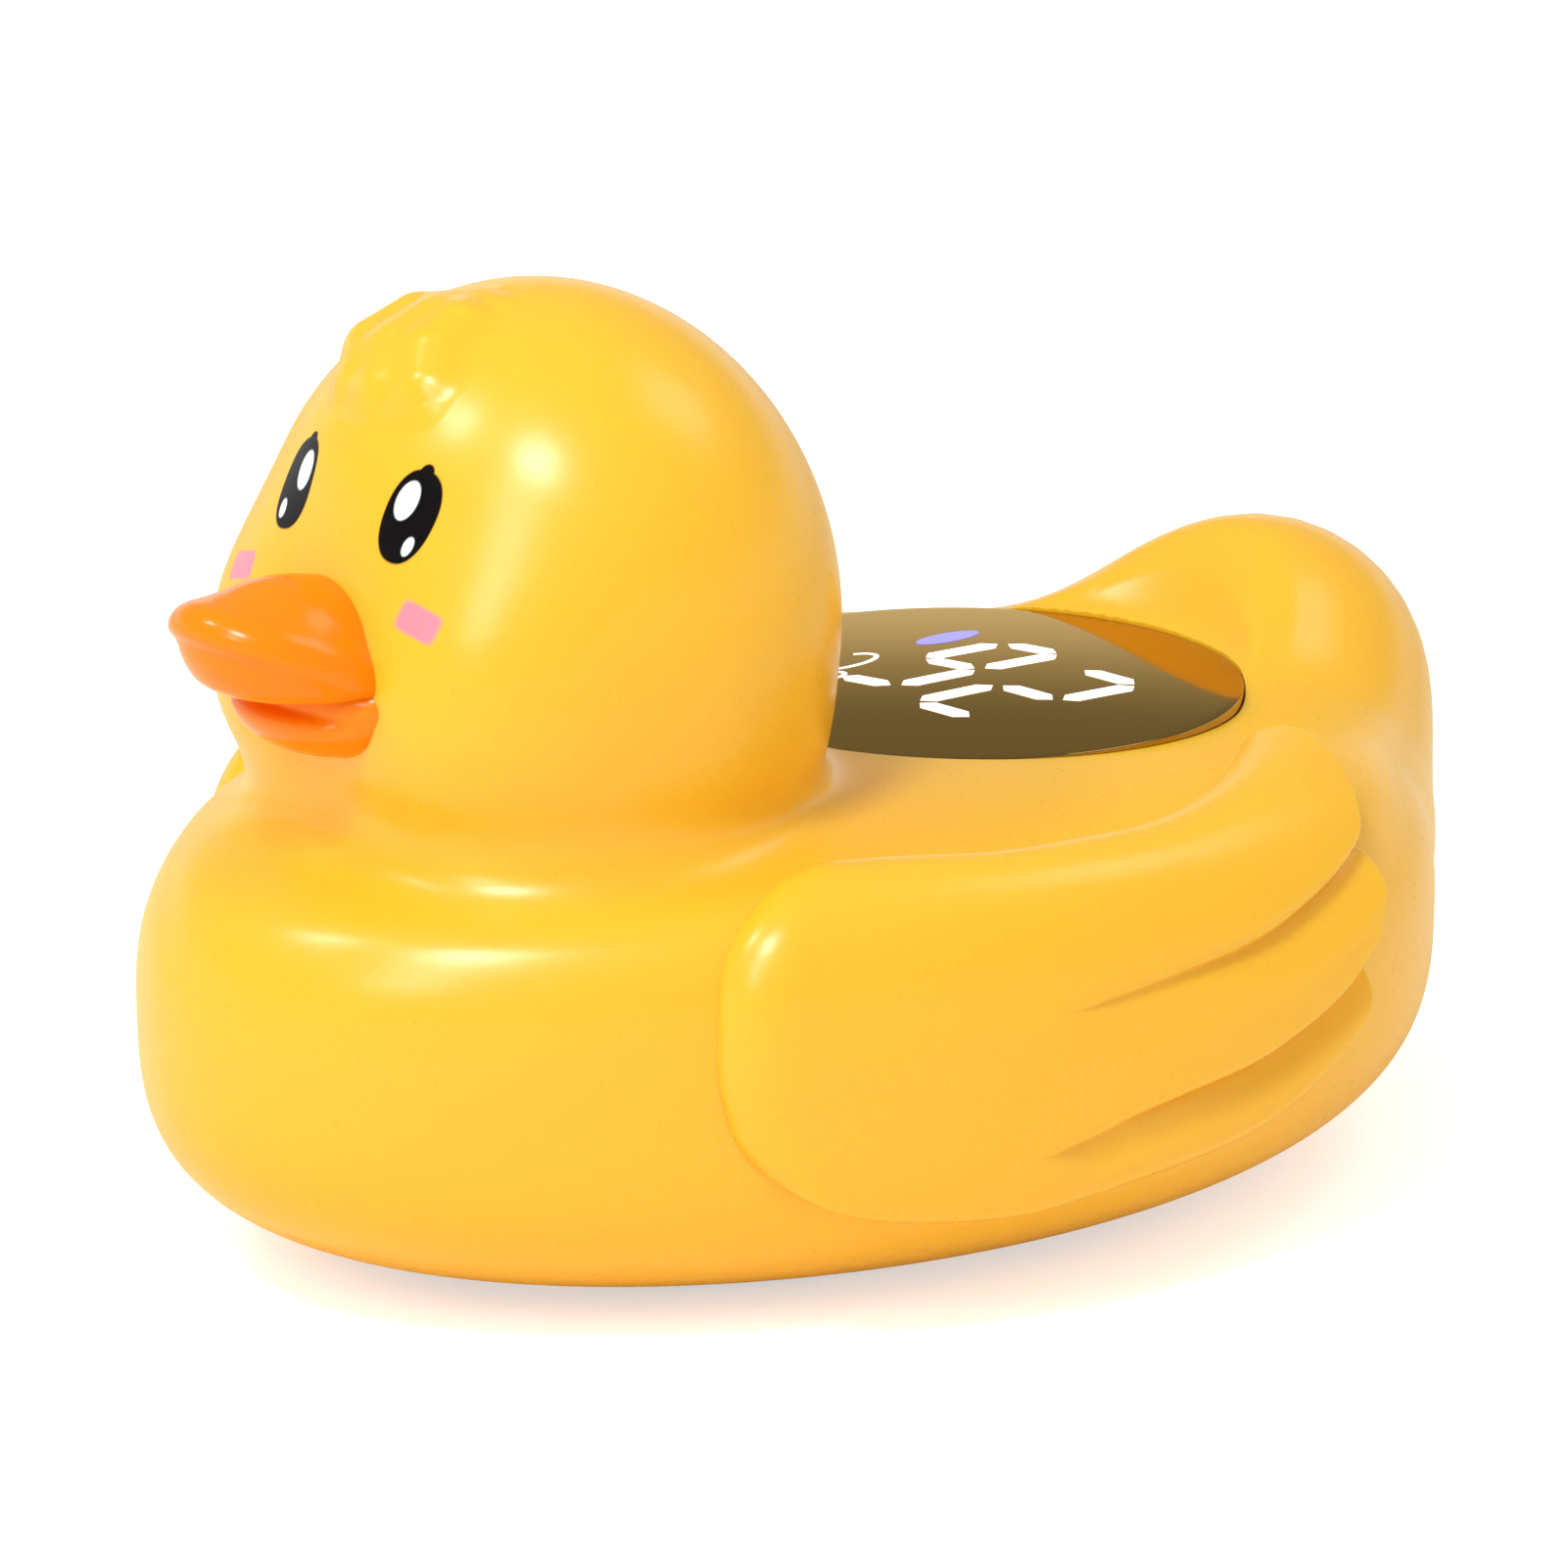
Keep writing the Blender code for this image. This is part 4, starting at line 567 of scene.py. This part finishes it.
wing = {
    "centre": (0, -7.0, 17.9), "thick": 2.4, "swell": 0.5, "tipThick": 0.9, "tipThickFrom": (0.6, 1.0),
    "tipTurn": 1.8, "tipTurnFrom": (0.7, 1.0), "under": -0.8, "reach": 75.0, "columns": 150, "across": 34,
    # depth of each groove, the share of it that comes early, and the stretches over which both parts come
    "firstGroove": (1.35, 0.4, (0.46, 0.55), (0.5, 0.88)),
    "secondGroove": (2.1, 0.45, (0.43, 0.52), (0.48, 0.82)),
    # round of each feather's lower lip, and how far the next one has risen from the groove by its middle
    "lips": (1.6, 1.5, 1.0), "recover": (0.0, 1.0, 0.75), "recoverFrom": (0.0, 0.5),
    "topRound": 5.5, "bottomRound": 3.0, "frontRound": 5.0, "rearRound": 1.2,
    "front": [(-35.8, 22.7), (-39.3, 21.0), (-41.8, 18.1), (-43.8, 14.0), (-44.2, 6.4), (-43.9, 1.8),
              (-42.6, -3.0), (-40.2, -6.3), (-37.1, -8.6)],
    "top": [(-35.8, 22.7), (-31.6, 23.8), (-20.8, 24.1), (-8.3, 23.1), (1.9, 22.6), (12.9, 21.9),
            (25.0, 21.9), (37.5, 22.0), (47.4, 21.8)],
    "first": [(-44.2, 6.4), (-25.0, 6.2), (-7.9, 7.0), (1.6, 7.9), (12.5, 8.8), (18.6, 10.0),
              (23.9, 11.2), (28.6, 12.5)],
    "second": [(-42.6, -3.0), (-25.0, -7.4), (-9.9, -6.7), (-1.3, -4.7), (7.1, -3.3), (11.9, -2.3),
               (15.8, -0.7), (19.9, 1.3), (22.9, 3.5), (24.9, 4.7)],
    "bottom": [(-37.1, -8.6), (-33.8, -10.6), (-29.8, -12.4), (-24.5, -13.6), (-13.6, -14.5), (-2.6, -13.3),
               (8.6, -11.4), (14.0, -9.3), (19.5, -5.6), (22.3, -3.6)],
    "tips": [[(47.4, 21.8), (45.7, 20.4), (42.8, 18.7), (39.2, 17.1), (35.4, 15.6), (31.1, 13.6),
              (28.6, 12.5)],
             [(28.6, 12.5), (30.3, 12.3), (30.6, 10.5), (29.6, 8.6), (27.7, 6.6), (24.9, 4.7)],
             [(24.9, 4.7), (26.7, 4.2), (27.0, 1.4), (25.5, -1.3), (22.3, -3.6)]],
}


def alongCurve(points, where):
    # a smooth curve through points, read at shares of its length
    points = np.array(points, float)
    ends = np.concatenate([[2 * points[0] - points[1]], points, [2 * points[-1] - points[-2]]])
    t = np.linspace(0, 1, 12, endpoint=False)[:, None]
    parts = []
    for a, b, c, d in zip(ends[:-3], ends[1:-2], ends[2:-1], ends[3:]):
        bend = (2 * a - 5 * b + 4 * c - d) * t ** 2 + (3 * b - a - 3 * c + d) * t ** 3
        parts.append(0.5 * (2 * b + (c - a) * t + bend))
    line = np.concatenate(parts + [points[-1:]])
    along = np.concatenate([[0], np.cumsum(np.linalg.norm(np.diff(line, axis=0), axis=-1))])
    return np.stack([np.interp(where * along[-1], along, line[:, k]) for k in range(line.shape[1])], -1)


def clustered(count):
    # shares from 0 to 1 that crowd towards both ends
    return 0.5 - 0.5 * np.cos(np.linspace(0, math.pi, count))


def featherPatch(top, bottom, front, rear, u, v):
    # a patch that blends its four border curves: the two pairs added, less the blend of the corners
    t, b = alongCurve(top, u)[:, None], alongCurve(bottom, u)[:, None]
    f, r = alongCurve(front, v)[None], alongCurve(rear, v)[None]
    u, v = u[:, None, None], v[None, :, None]
    corners = (1 - u) * (1 - v) * t[:1] + u * (1 - v) * t[-1:] + (1 - u) * v * b[:1] + u * v * b[-1:]
    return (1 - v) * t + v * b + (1 - u) * f + u * r - corners


def onBody(angles):
    # places and normals where rays in plan angle and height angle leave the body
    plan, rise = np.radians(angles[..., 0]), np.radians(angles[..., 1])
    direction = np.stack([np.cos(plan) * np.cos(rise), np.sin(plan) * np.cos(rise), np.sin(rise)], -1)
    start = np.broadcast_to(np.array(wing["centre"], float), direction.shape)
    hit = start + direction * firstHit(skinField, start, direction, wing["reach"])[..., None]
    return hit, unitRows(gradient(skinField, hit, 0.3))


def splitFront(first, second):
    # the pad's front edge in three stretches, cut where the two grooves would reach it
    line = alongCurve(wing["front"], np.linspace(0, 1, 61))
    cuts = [int(np.argmin(np.linalg.norm(line - np.array(p), axis=-1))) for p in (first, second)]
    return [line[:cuts[0] + 1], line[cuts[0]:cuts[1] + 1], line[cuts[1]:]]


def grooveDepth(depth, early, earlyFrom, lateFrom, u):
    # how deep a groove is along the wing, as two soft rises added
    return depth * (early * smoothStep(*earlyFrom, u) + (1 - early) * smoothStep(*lateFrom, u))[:, None]


def makeWing(name, mat, side):
    # each feather is a patch laid on the body and lifted off it, rounded at its edges, on a flat underside
    u, v = clustered(wing["columns"]), clustered(wing["across"])
    fronts = splitFront(wing["first"][0], wing["second"][0])
    lines = [wing["top"], wing["first"], wing["second"], wing["bottom"]]
    lines[1] = [tuple(fronts[0][-1])] + lines[1][1:]
    lines[2] = [tuple(fronts[1][-1])] + lines[2][1:]
    drops = [0, grooveDepth(*wing["firstGroove"], u), grooveDepth(*wing["secondGroove"], u), 0]
    thick = wing["thick"] + wing["swell"] * np.sin(math.pi * u)[:, None] ** 2
    thick = thick + wing["tipThick"] * smoothStep(*wing["tipThickFrom"], u)[:, None]
    points, faces, start = [], [], 0
    for k in range(3):
        angles = featherPatch(lines[k], lines[k + 1], fronts[k], wing["tips"][k], u, v)
        angles[..., 0] += wing["tipTurn"] * smoothStep(*wing["tipTurnFrom"], u)[:, None]
        place, normal = onBody(angles)
        across = np.linalg.norm(place[:, -1] - place[:, 0], axis=-1)[:, None] * v[None]
        fromLip = across[:, -1:] - across
        stride = np.linalg.norm(np.diff(place, axis=0), axis=-1)
        ahead = np.concatenate([np.zeros((1, len(v))), np.cumsum(stride, axis=0)])
        behind = ahead[-1:] - ahead
        risen = wing["recover"][k] * smoothStep(*wing["recoverFrom"], v)[None]
        height = thick - drops[k] * (1 - risen) - drops[k + 1] * (1 - quarterRound(fromLip, wing["lips"][k]))
        edge = (quarterRound(across, wing["topRound"]), 1, quarterRound(fromLip, wing["bottomRound"]))[k]
        edge = edge * quarterRound(ahead, wing["frontRound"]) * quarterRound(behind, wing["rearRound"])
        height = wing["under"] + (height - wing["under"]) * edge
        outer = place + normal * height[..., None]
        under = place + normal * wing["under"]
        for grid, flip in ((outer, True), (under, False)):
            points.append(grid.reshape(-1, 3))
            faces += gridFaces(len(u), len(v), False, start, flip)
            start += len(u) * len(v)
    points = np.concatenate(points) * np.array([side, 1, 1])
    piece = addMesh(name, points, faces, mat, 50)
    mergeNear(piece.data, 2e-6)
    piece.data.set_sharp_from_angle(angle=math.radians(50))
    print(name, triangleCount(piece.data), "triangles")
    return piece


# Bill: a spoon-shaped upper lip that rises to its tip, with a line along its rim, over a smaller lower lip

bill = {"root": (0, -48.0, 44.9), "rise": 28.0, "rim": (6.2, 8.85), "roll": 1.25,
        "crownRise": 12.0, "crown": (7.4, 9.4, 6.5), "crownPowers": (1.8, 2.2, 1.8), "crownShare": 0.9,
        "crownFoot": 0.6, "rimBlend": 2.2, "band": (7.3, 9.4, 4.6), "bandDrop": -0.2, "bandBlend": 0.4,
        "underside": 43.9, "undersideRound": 1.2, "upperFrom": (0, -49.5, 46.3),
        "lipAt": (0, -45.6, 42.2), "lipSize": (8.2, 6.1, 3.6), "lipTop": 42.7, "lipRound": 1.2,
        "mouthAt": (0, -45.6, 43.2), "mouthSize": (9.3, 4.9, 3.2), "mouthBlend": 0.5,
        "lowerFrom": (0, -46.5, 41.9), "rings": 150, "columns": 200, "pole": 0.004, "reach": 26.0,
        "steps": 90}


def billFrame(p, rise):
    # places across, ahead and above in a frame at the bill's root that is tipped up by an angle
    c, s = math.cos(math.radians(rise)), math.sin(math.radians(rise))
    y, z = p[..., 1] - bill["root"][1], p[..., 2] - bill["root"][2]
    return np.stack([p[..., 0], -c * y + s * z, s * y + c * z], -1)


def upperLipField(p):
    # a rounded rim plate and a crown above it, over a band that is cut level below
    q = billFrame(p, bill["rise"])
    size = np.array(bill["rim"])
    plan = q[..., :2] / size
    near = np.linalg.norm(plan, axis=-1)
    out = near * (near - 1) / np.maximum(np.linalg.norm(plan / size, axis=-1), 1e-9)
    rim = np.hypot(np.clip(out, 0, None), q[..., 2]) - bill["roll"]
    powers = bill["crownPowers"]
    crown = (np.abs(billFrame(p, bill["crownRise"])) / np.array(bill["crown"])) ** np.array(powers)
    crown = (crown.sum(-1) ** (1 / powers[2]) - 1) * bill["crown"][2] * bill["crownShare"]
    crown = softMax(crown, -q[..., 2], bill["crownFoot"])
    band = ellipsoid(q, (0, 0, bill["bandDrop"]), bill["band"])
    whole = softMin(softMin(rim, crown, bill["rimBlend"]), band, bill["bandBlend"])
    return softMax(whole, bill["underside"] - p[..., 2], bill["undersideRound"])


def lowerLipField(p):
    # a flat-topped lip joined to the mouth's floor behind it
    lip = softMax(ellipsoid(p, bill["lipAt"], bill["lipSize"]), p[..., 2] - bill["lipTop"], bill["lipRound"])
    return softMin(lip, ellipsoid(p, bill["mouthAt"], bill["mouthSize"]), bill["mouthBlend"])


def makeLip(name, mat, field, centre):
    # points on rays from a place inside the lip, the poles on the line along the duck
    ring = turnSteps(bill["columns"])
    polar = np.linspace(bill["pole"], math.pi - bill["pole"], bill["rings"])[:, None]
    direction = np.stack([np.sin(polar) * np.cos(ring), -np.cos(polar) * np.ones_like(ring),
                          np.sin(polar) * np.sin(ring)], -1)
    start = np.broadcast_to(np.array(centre, float), direction.shape)
    far = firstHit(field, start, direction, bill["reach"], bill["steps"])
    faces = gridFaces(bill["rings"], bill["columns"])
    last = (bill["rings"] - 1) * bill["columns"]
    faces += [list(range(bill["columns"]))[::-1], list(range(last, last + bill["columns"]))]
    piece = addMesh(name, (start + direction * far[..., None]).reshape(-1, 3), faces, mat, 45)
    mergeNear(piece.data)
    fieldNormals(piece.data, field)
    print(name, triangleCount(piece.data), "triangles")
    return piece


# Display: domed window, lit bars and lamp

readout = {"bar": 1.75, "inset": 0.5, "thin": 0.42, "proud": 0.03, "thick": 0.12,
           # each digit's bars, centre, half width and half height
           "digits": [("abged", (7.1, 0.3), (-3.0, -0.27), (0.65, 7.8)),
                      ("afgedc", (-2.6, 1.2), (-2.65, -0.65), (0.66, 7.9))],
           # centre, half sizes and half gap in degrees of the letter and the degree ring
           "strokes": [((-8.55, -4.5), (1.45, 3.2), 40.0, 180), ((-6.2, -7.6), (0.75, 1.1), 2.0, 0)],
           "lampAt": (-8.7, 6.4), "lampSize": (1.17, 3.1)}
segmentEnds = {"a": ("tl", "tr"), "b": ("tr", "mr"), "c": ("mr", "br"), "d": ("bl", "br"), "e": ("ml", "bl"),
               "f": ("tl", "ml"), "g": ("ml", "mr")}


def windowHeight(r):
    # the window's dome: flat at its rim, rising towards the middle
    return window["top"] + window["dome"] * (1 - np.clip(r / window["r"], 0, 1) ** 2)


def makeWindow(mat):
    # a disc with a small round at its edge and a domed top
    r, edge, top = window["r"], window["edge"], window["top"]
    low = top - window["thick"]
    arc = np.linspace(0, math.pi / 2, 7)
    rounded = [(r - edge + edge * math.cos(a), top - edge + edge * math.sin(a)) for a in arc]
    dome = [(s * r, float(windowHeight(s * r))) for s in np.linspace(1 - edge / r, 0, 40)[1:]]
    return turned("window_glass", [(0, low), (r, low)] + rounded + dome, mat, (0, window["y"], 0), 256)


def barOutline(p, q, width):
    # a bar with pointed ends
    p, q = np.array(p, float), np.array(q, float)
    along = unitRows(q - p)
    side = np.array([-along[1], along[0]]) * width / 2
    tip = along * width / 2
    return np.array([p, p + tip - side, q - tip - side, q, q - tip + side, p + tip + side])


def ovalOutline(centre, size, count=64):
    # points round an oval
    ring = turnSteps(count)
    return np.stack([centre[0] + size[0] * np.cos(ring), centre[1] + size[1] * np.sin(ring)], -1)


def strokeOutline(centre, size, halfGap, gapAt, width, count=40):
    # a thin stroke round an oval, open by twice a half gap on one side
    turn = np.radians(np.linspace(gapAt + halfGap, gapAt + 360 - halfGap, count))
    outer, inner = (np.stack([centre[0] + (size[0] + s * width / 2) * np.cos(turn),
                              centre[1] + (size[1] + s * width / 2) * np.sin(turn)], -1) for s in (1, -1))
    return np.concatenate([outer, inner[::-1]])


def platePoints(outline):
    # a thin plate that follows the window's dome, on an outline given from the window's axis
    r = np.hypot(outline[:, 0], outline[:, 1])
    top = windowHeight(r) + readout["proud"]
    flat = outline + np.array([0, window["y"]])
    return np.concatenate([np.column_stack([flat, top - readout["thick"]]), np.column_stack([flat, top])])


def digitBars(keys, centre, across, down):
    # bars of one digit; across points to its right and down to its foot, seen from the duck's tail
    centre, across, down = np.array(centre), np.array(across), np.array(down)
    corner = {"tl": -across - down, "tr": across - down, "ml": -across, "mr": across, "bl": down - across,
              "br": across + down}
    made = []
    for key in keys:
        p, q = (centre + corner[k] for k in segmentEnds[key])
        along = unitRows(q - p) * readout["inset"]
        made.append(barOutline(p + along, q - along, readout["bar"]))
    return made


def makePlates(name, mat, plain, strokes=()):
    # outlines made thin plates with walls: a plain one is capped by one face, a stroke by a strip of quads
    points, faces, start = [], [], 0
    for k, outline in enumerate([*plain, *strokes]):
        n = len(outline)
        caps = [tuple(range(n))]
        if k >= len(plain):
            caps = [(i, i + 1, n - 2 - i, n - 1 - i) for i in range(n // 2 - 1)]
        points.append(platePoints(outline))
        faces += [tuple(start + n + i for i in cap) for cap in caps]
        faces += [tuple(start + i for i in cap)[::-1] for cap in caps]
        faces += [(start + i, start + (i + 1) % n, start + n + (i + 1) % n, start + n + i) for i in range(n)]
        start += 2 * n
    piece = addMesh(name, np.concatenate(points), faces, mat, 30)
    mergeNear(piece.data)
    return piece


# Make the pieces

shellLook = {"gloss": 0.28, "cloud": 0.35, "grain": 0.03, "relief": 0.02}
yellow, wingYellow = (plastic(name, palette["yellow"], palette["yellowDeep"], **shellLook)
                      for name in ("yellow shell", "yellow wing"))
setShader(yellow, **softYellow)
setShader(wingYellow, **softYellow)
printFace(yellow)
orange = plastic("orange bill", palette["orange"], palette["orangeDeep"], gloss=0.2, cloud=0.4, grain=0.03,
                 relief=0.01)
setShader(orange, Specular_IOR_Level=0.3, **softOrange)
smoke = plastic("smoked window", palette["smoke"], palette["smokeDeep"], gloss=0.06, cloud=0.25, grain=0.01,
                relief=0.0, metal=1.0)
setShader(smoke, Specular_Tint=(1.0, 0.88, 0.6, 1))
litWhite = plastic("lit white", palette["lit"], palette["litDeep"], gloss=0.3, glow=0.75)
litViolet = plastic("lamp violet", palette["violet"], palette["violetDeep"], gloss=0.3, glow=0.8)

skin = makeSkin(yellow)
cutWindow(skin, yellow)
fieldNormals(skin.data, skinField)
leftWing, rightWing = makeWing("wing_left", wingYellow, 1), makeWing("wing_right", wingYellow, -1)
upperLip = makeLip("bill_upper", orange, upperLipField, bill["upperFrom"])
lowerLip = makeLip("bill_lower", orange, lowerLipField, bill["lowerFrom"])
glass = makeWindow(smoke)
bars = [bar for digit in readout["digits"] for bar in digitBars(*digit)]
strokes = [strokeOutline(*stroke, readout["thin"]) for stroke in readout["strokes"]]
segments = makePlates("lit_segments", litWhite, bars, strokes)
lamp = makePlates("lamp_spot", litViolet, [ovalOutline(readout["lampAt"], readout["lampSize"])])
print("display ready")

dressed = [(skin, "duck_body", "yellow_shell"), (leftWing, "duck_body", "yellow_shell"),
           (rightWing, "duck_body", "yellow_shell"), (upperLip, "bill", "orange_bill"),
           (lowerLip, "bill", "orange_bill"), (glass, "display_lens", "smoked_window"),
           (segments, None, "lit_white"), (lamp, None, "lamp_violet")]
for piece, solid, slot in dressed:
    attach(piece, "root")
    if solid:
        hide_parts(solid)

# Finish of the nodes that stay as they are

finishes = {
    "cream": plastic("cream plastic", (0.86, 0.82, 0.70, 1), gloss=0.45, cloud=0.15),
    "dark": plastic("dark plastic", (0.02, 0.02, 0.022, 1), gloss=0.5),
    "board": plastic("board laminate", (0.02, 0.16, 0.07, 1), gloss=0.35, cloud=0.4),
    "chip": plastic("chip epoxy", (0.015, 0.015, 0.016, 1), gloss=0.55),
    "steel": plastic("bright steel", (0.62, 0.61, 0.59, 1), gloss=0.28, cloud=0.2, metal=1.0),
    "rubber": plastic("seal rubber", (0.55, 0.53, 0.48, 1), gloss=0.75),
    "tape": plastic("black tape", (0.02, 0.02, 0.02, 1), gloss=0.7),
    "red": plastic("red sleeve", (0.6, 0.02, 0.015, 1), gloss=0.45),
    "black": plastic("black sleeve", (0.02, 0.02, 0.02, 1), gloss=0.45),
    "white": litWhite, "violet": litViolet,
}
finishOf = {"lens_tape": "tape", "display_housing": "cream", "light_mask": "dark", "digit_display": "white",
            "status_lamp": "violet", "main_board": "board", "control_chip": "chip",
            "filter_capacitor": "chip",
            "base_plate": "cream", "base_seal": "rubber", "battery_cover": "cream", "cover_seal": "rubber",
            "coin_cell": "steel", "spring_contact": "steel", "side_contact": "steel", "probe_cap": "steel",
            "probe_seal": "rubber", "thermistor": "chip", "probe_lead": "black", "power_lead_plus": "red",
            "power_lead_minus": "black", "sense_lead_left": "cream", "sense_lead_right": "cream"}
for name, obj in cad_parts.items():
    for place in obj.material_slots:
        place.material = finishes[finishOf.get(name, "steel")]
print("finishes set on", len(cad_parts), "nodes")

# Floor, light and camera

studio = {"azimuth": 49.67, "elevation": 16.64, "distance": 416.7, "target": (0, -4.53, 28.19),
          "lens": 129.07, "sensor": 36, "clip": (0.01, 20),
          "world": 0.62, "horizon": (0.16, 0.33), "glossLow": 0.95, "glossHigh": 0.27,
          "floor": (0.93, 0.93, 0.93, 1), "floorBounce": (1.0, 0.93, 0.74, 1),
          "floorGlow": 0.55, "floorHalf": 6000, "floorZ": -0.6,
          # each lamp's name, place, aim, side length and power
          "lamps": [("key", (130, -330, 520), (0, -10, 30), 120, 1.5),
                    ("second", (-190, -328, 503), (0, -10, 30), 90, 0.6),
                    ("low", (144, -475, 388), (0, -20, 35), 140, 0.45),
                    ("back", (120, 300, 520), (0, 20, 30), 220, 0.35)]}


def makeFloor():
    # a wide plain square: grey to the camera, warm in what it throws back, with a glow for the camera alone
    half, z = studio["floorHalf"], studio["floorZ"]
    points = [(-half, -half, z), (half, -half, z), (half, half, z), (-half, half, z)]
    mat = bpy.data.materials.new("pale floor")
    mat.use_nodes = True
    tree = mat.node_tree
    shader = tree.nodes["Principled BSDF"]
    shader.inputs["Roughness"].default_value = 0.9
    shader.inputs["Specular IOR Level"].default_value = 0.0
    path = tree.nodes.new("ShaderNodeLightPath").outputs
    shade = mixColour(tree, path["Is Camera Ray"], studio["floorBounce"], studio["floor"])
    tree.links.new(shade, shader.inputs["Base Color"])
    seen = math2(tree, "MAXIMUM", path["Is Camera Ray"], path["Is Transmission Ray"])
    glow = node(tree, "ShaderNodeEmission", None, Color=(1, 1, 1, 1), Strength=studio["floorGlow"])
    none = node(tree, "ShaderNodeEmission", None, Color=(0, 0, 0, 1), Strength=0.0)
    pick = node(tree, "ShaderNodeMixShader", None, n0=seen, n1=none.outputs[0], n2=glow.outputs[0])
    both = node(tree, "ShaderNodeAddShader", None, n0=shader.outputs[0], n1=pick.outputs[0])
    tree.links.new(both.outputs[0], tree.nodes["Material Output"].inputs["Surface"])
    addMesh("floor", points, [(0, 1, 2, 3)], mat)


def makeWorld():
    # white where the camera looks past the duck, plain light on it, and a bright low sky for its gloss
    world = bpy.data.worlds.new("studio")
    bpy.context.scene.world = world
    world.use_nodes = True
    tree = world.node_tree
    back = tree.nodes["Background"]
    path = tree.nodes.new("ShaderNodeLightPath").outputs
    seen = math2(tree, "MAXIMUM", path["Is Camera Ray"], path["Is Transmission Ray"])
    toward = tree.nodes.new("ShaderNodeTexCoord").outputs["Generated"]
    way = node(tree, "ShaderNodeSeparateXYZ", None, Vector=toward)
    low, high = studio["horizon"]
    sky = node(tree, "ShaderNodeMapRange", {"interpolation_type": "SMOOTHSTEP"}, Value=way.outputs[2],
               n1=low, n2=high, n3=studio["glossLow"], n4=studio["glossHigh"])
    diffuse = math2(tree, "MULTIPLY", math2(tree, "SUBTRACT", 1.0, path["Is Glossy Ray"]), studio["world"])
    glossy = math2(tree, "MULTIPLY", path["Is Glossy Ray"], sky.outputs[0])
    back.inputs["Color"].default_value = (1, 1, 1, 1)
    light = math2(tree, "ADD", diffuse, glossy)
    tree.links.new(math2(tree, "MAXIMUM", light, seen), back.inputs["Strength"])


def addLamp(name, at, aim, side, power):
    # a square lamp turned towards its aim
    data = bpy.data.lights.new(name, "AREA")
    data.shape = "RECTANGLE"
    data.size = side * mm
    data.size_y = side * mm
    data.energy = power
    lamp = bpy.data.objects.new(name, data)
    bpy.context.scene.collection.objects.link(lamp)
    lamp.location = [c * mm for c in at]
    lamp.rotation_mode = "QUATERNION"
    lamp.rotation_quaternion = (Vector(aim) - Vector(at)).to_track_quat("-Z", "Y")


def makeCamera():
    # looks at the target from its distance, azimuth and elevation
    a, e = math.radians(studio["azimuth"]), math.radians(studio["elevation"])
    back = np.array([math.sin(a) * math.cos(e), -math.cos(a) * math.cos(e), math.sin(e)])
    data = bpy.data.cameras.new("camera")
    data.lens = studio["lens"]
    data.sensor_width = studio["sensor"]
    data.clip_start, data.clip_end = studio["clip"]
    camera = bpy.data.objects.new("camera", data)
    bpy.context.scene.collection.objects.link(camera)
    camera.location = (np.array(studio["target"]) + back * studio["distance"]) * mm
    camera.rotation_mode = "QUATERNION"
    camera.rotation_quaternion = Vector(-back).to_track_quat("-Z", "Y")
    bpy.context.scene.camera = camera


makeFloor()
makeWorld()
for lampSettings in studio["lamps"]:
    addLamp(*lampSettings)
makeCamera()
bpy.context.scene.view_settings.view_transform = "Standard"
print("studio ready")
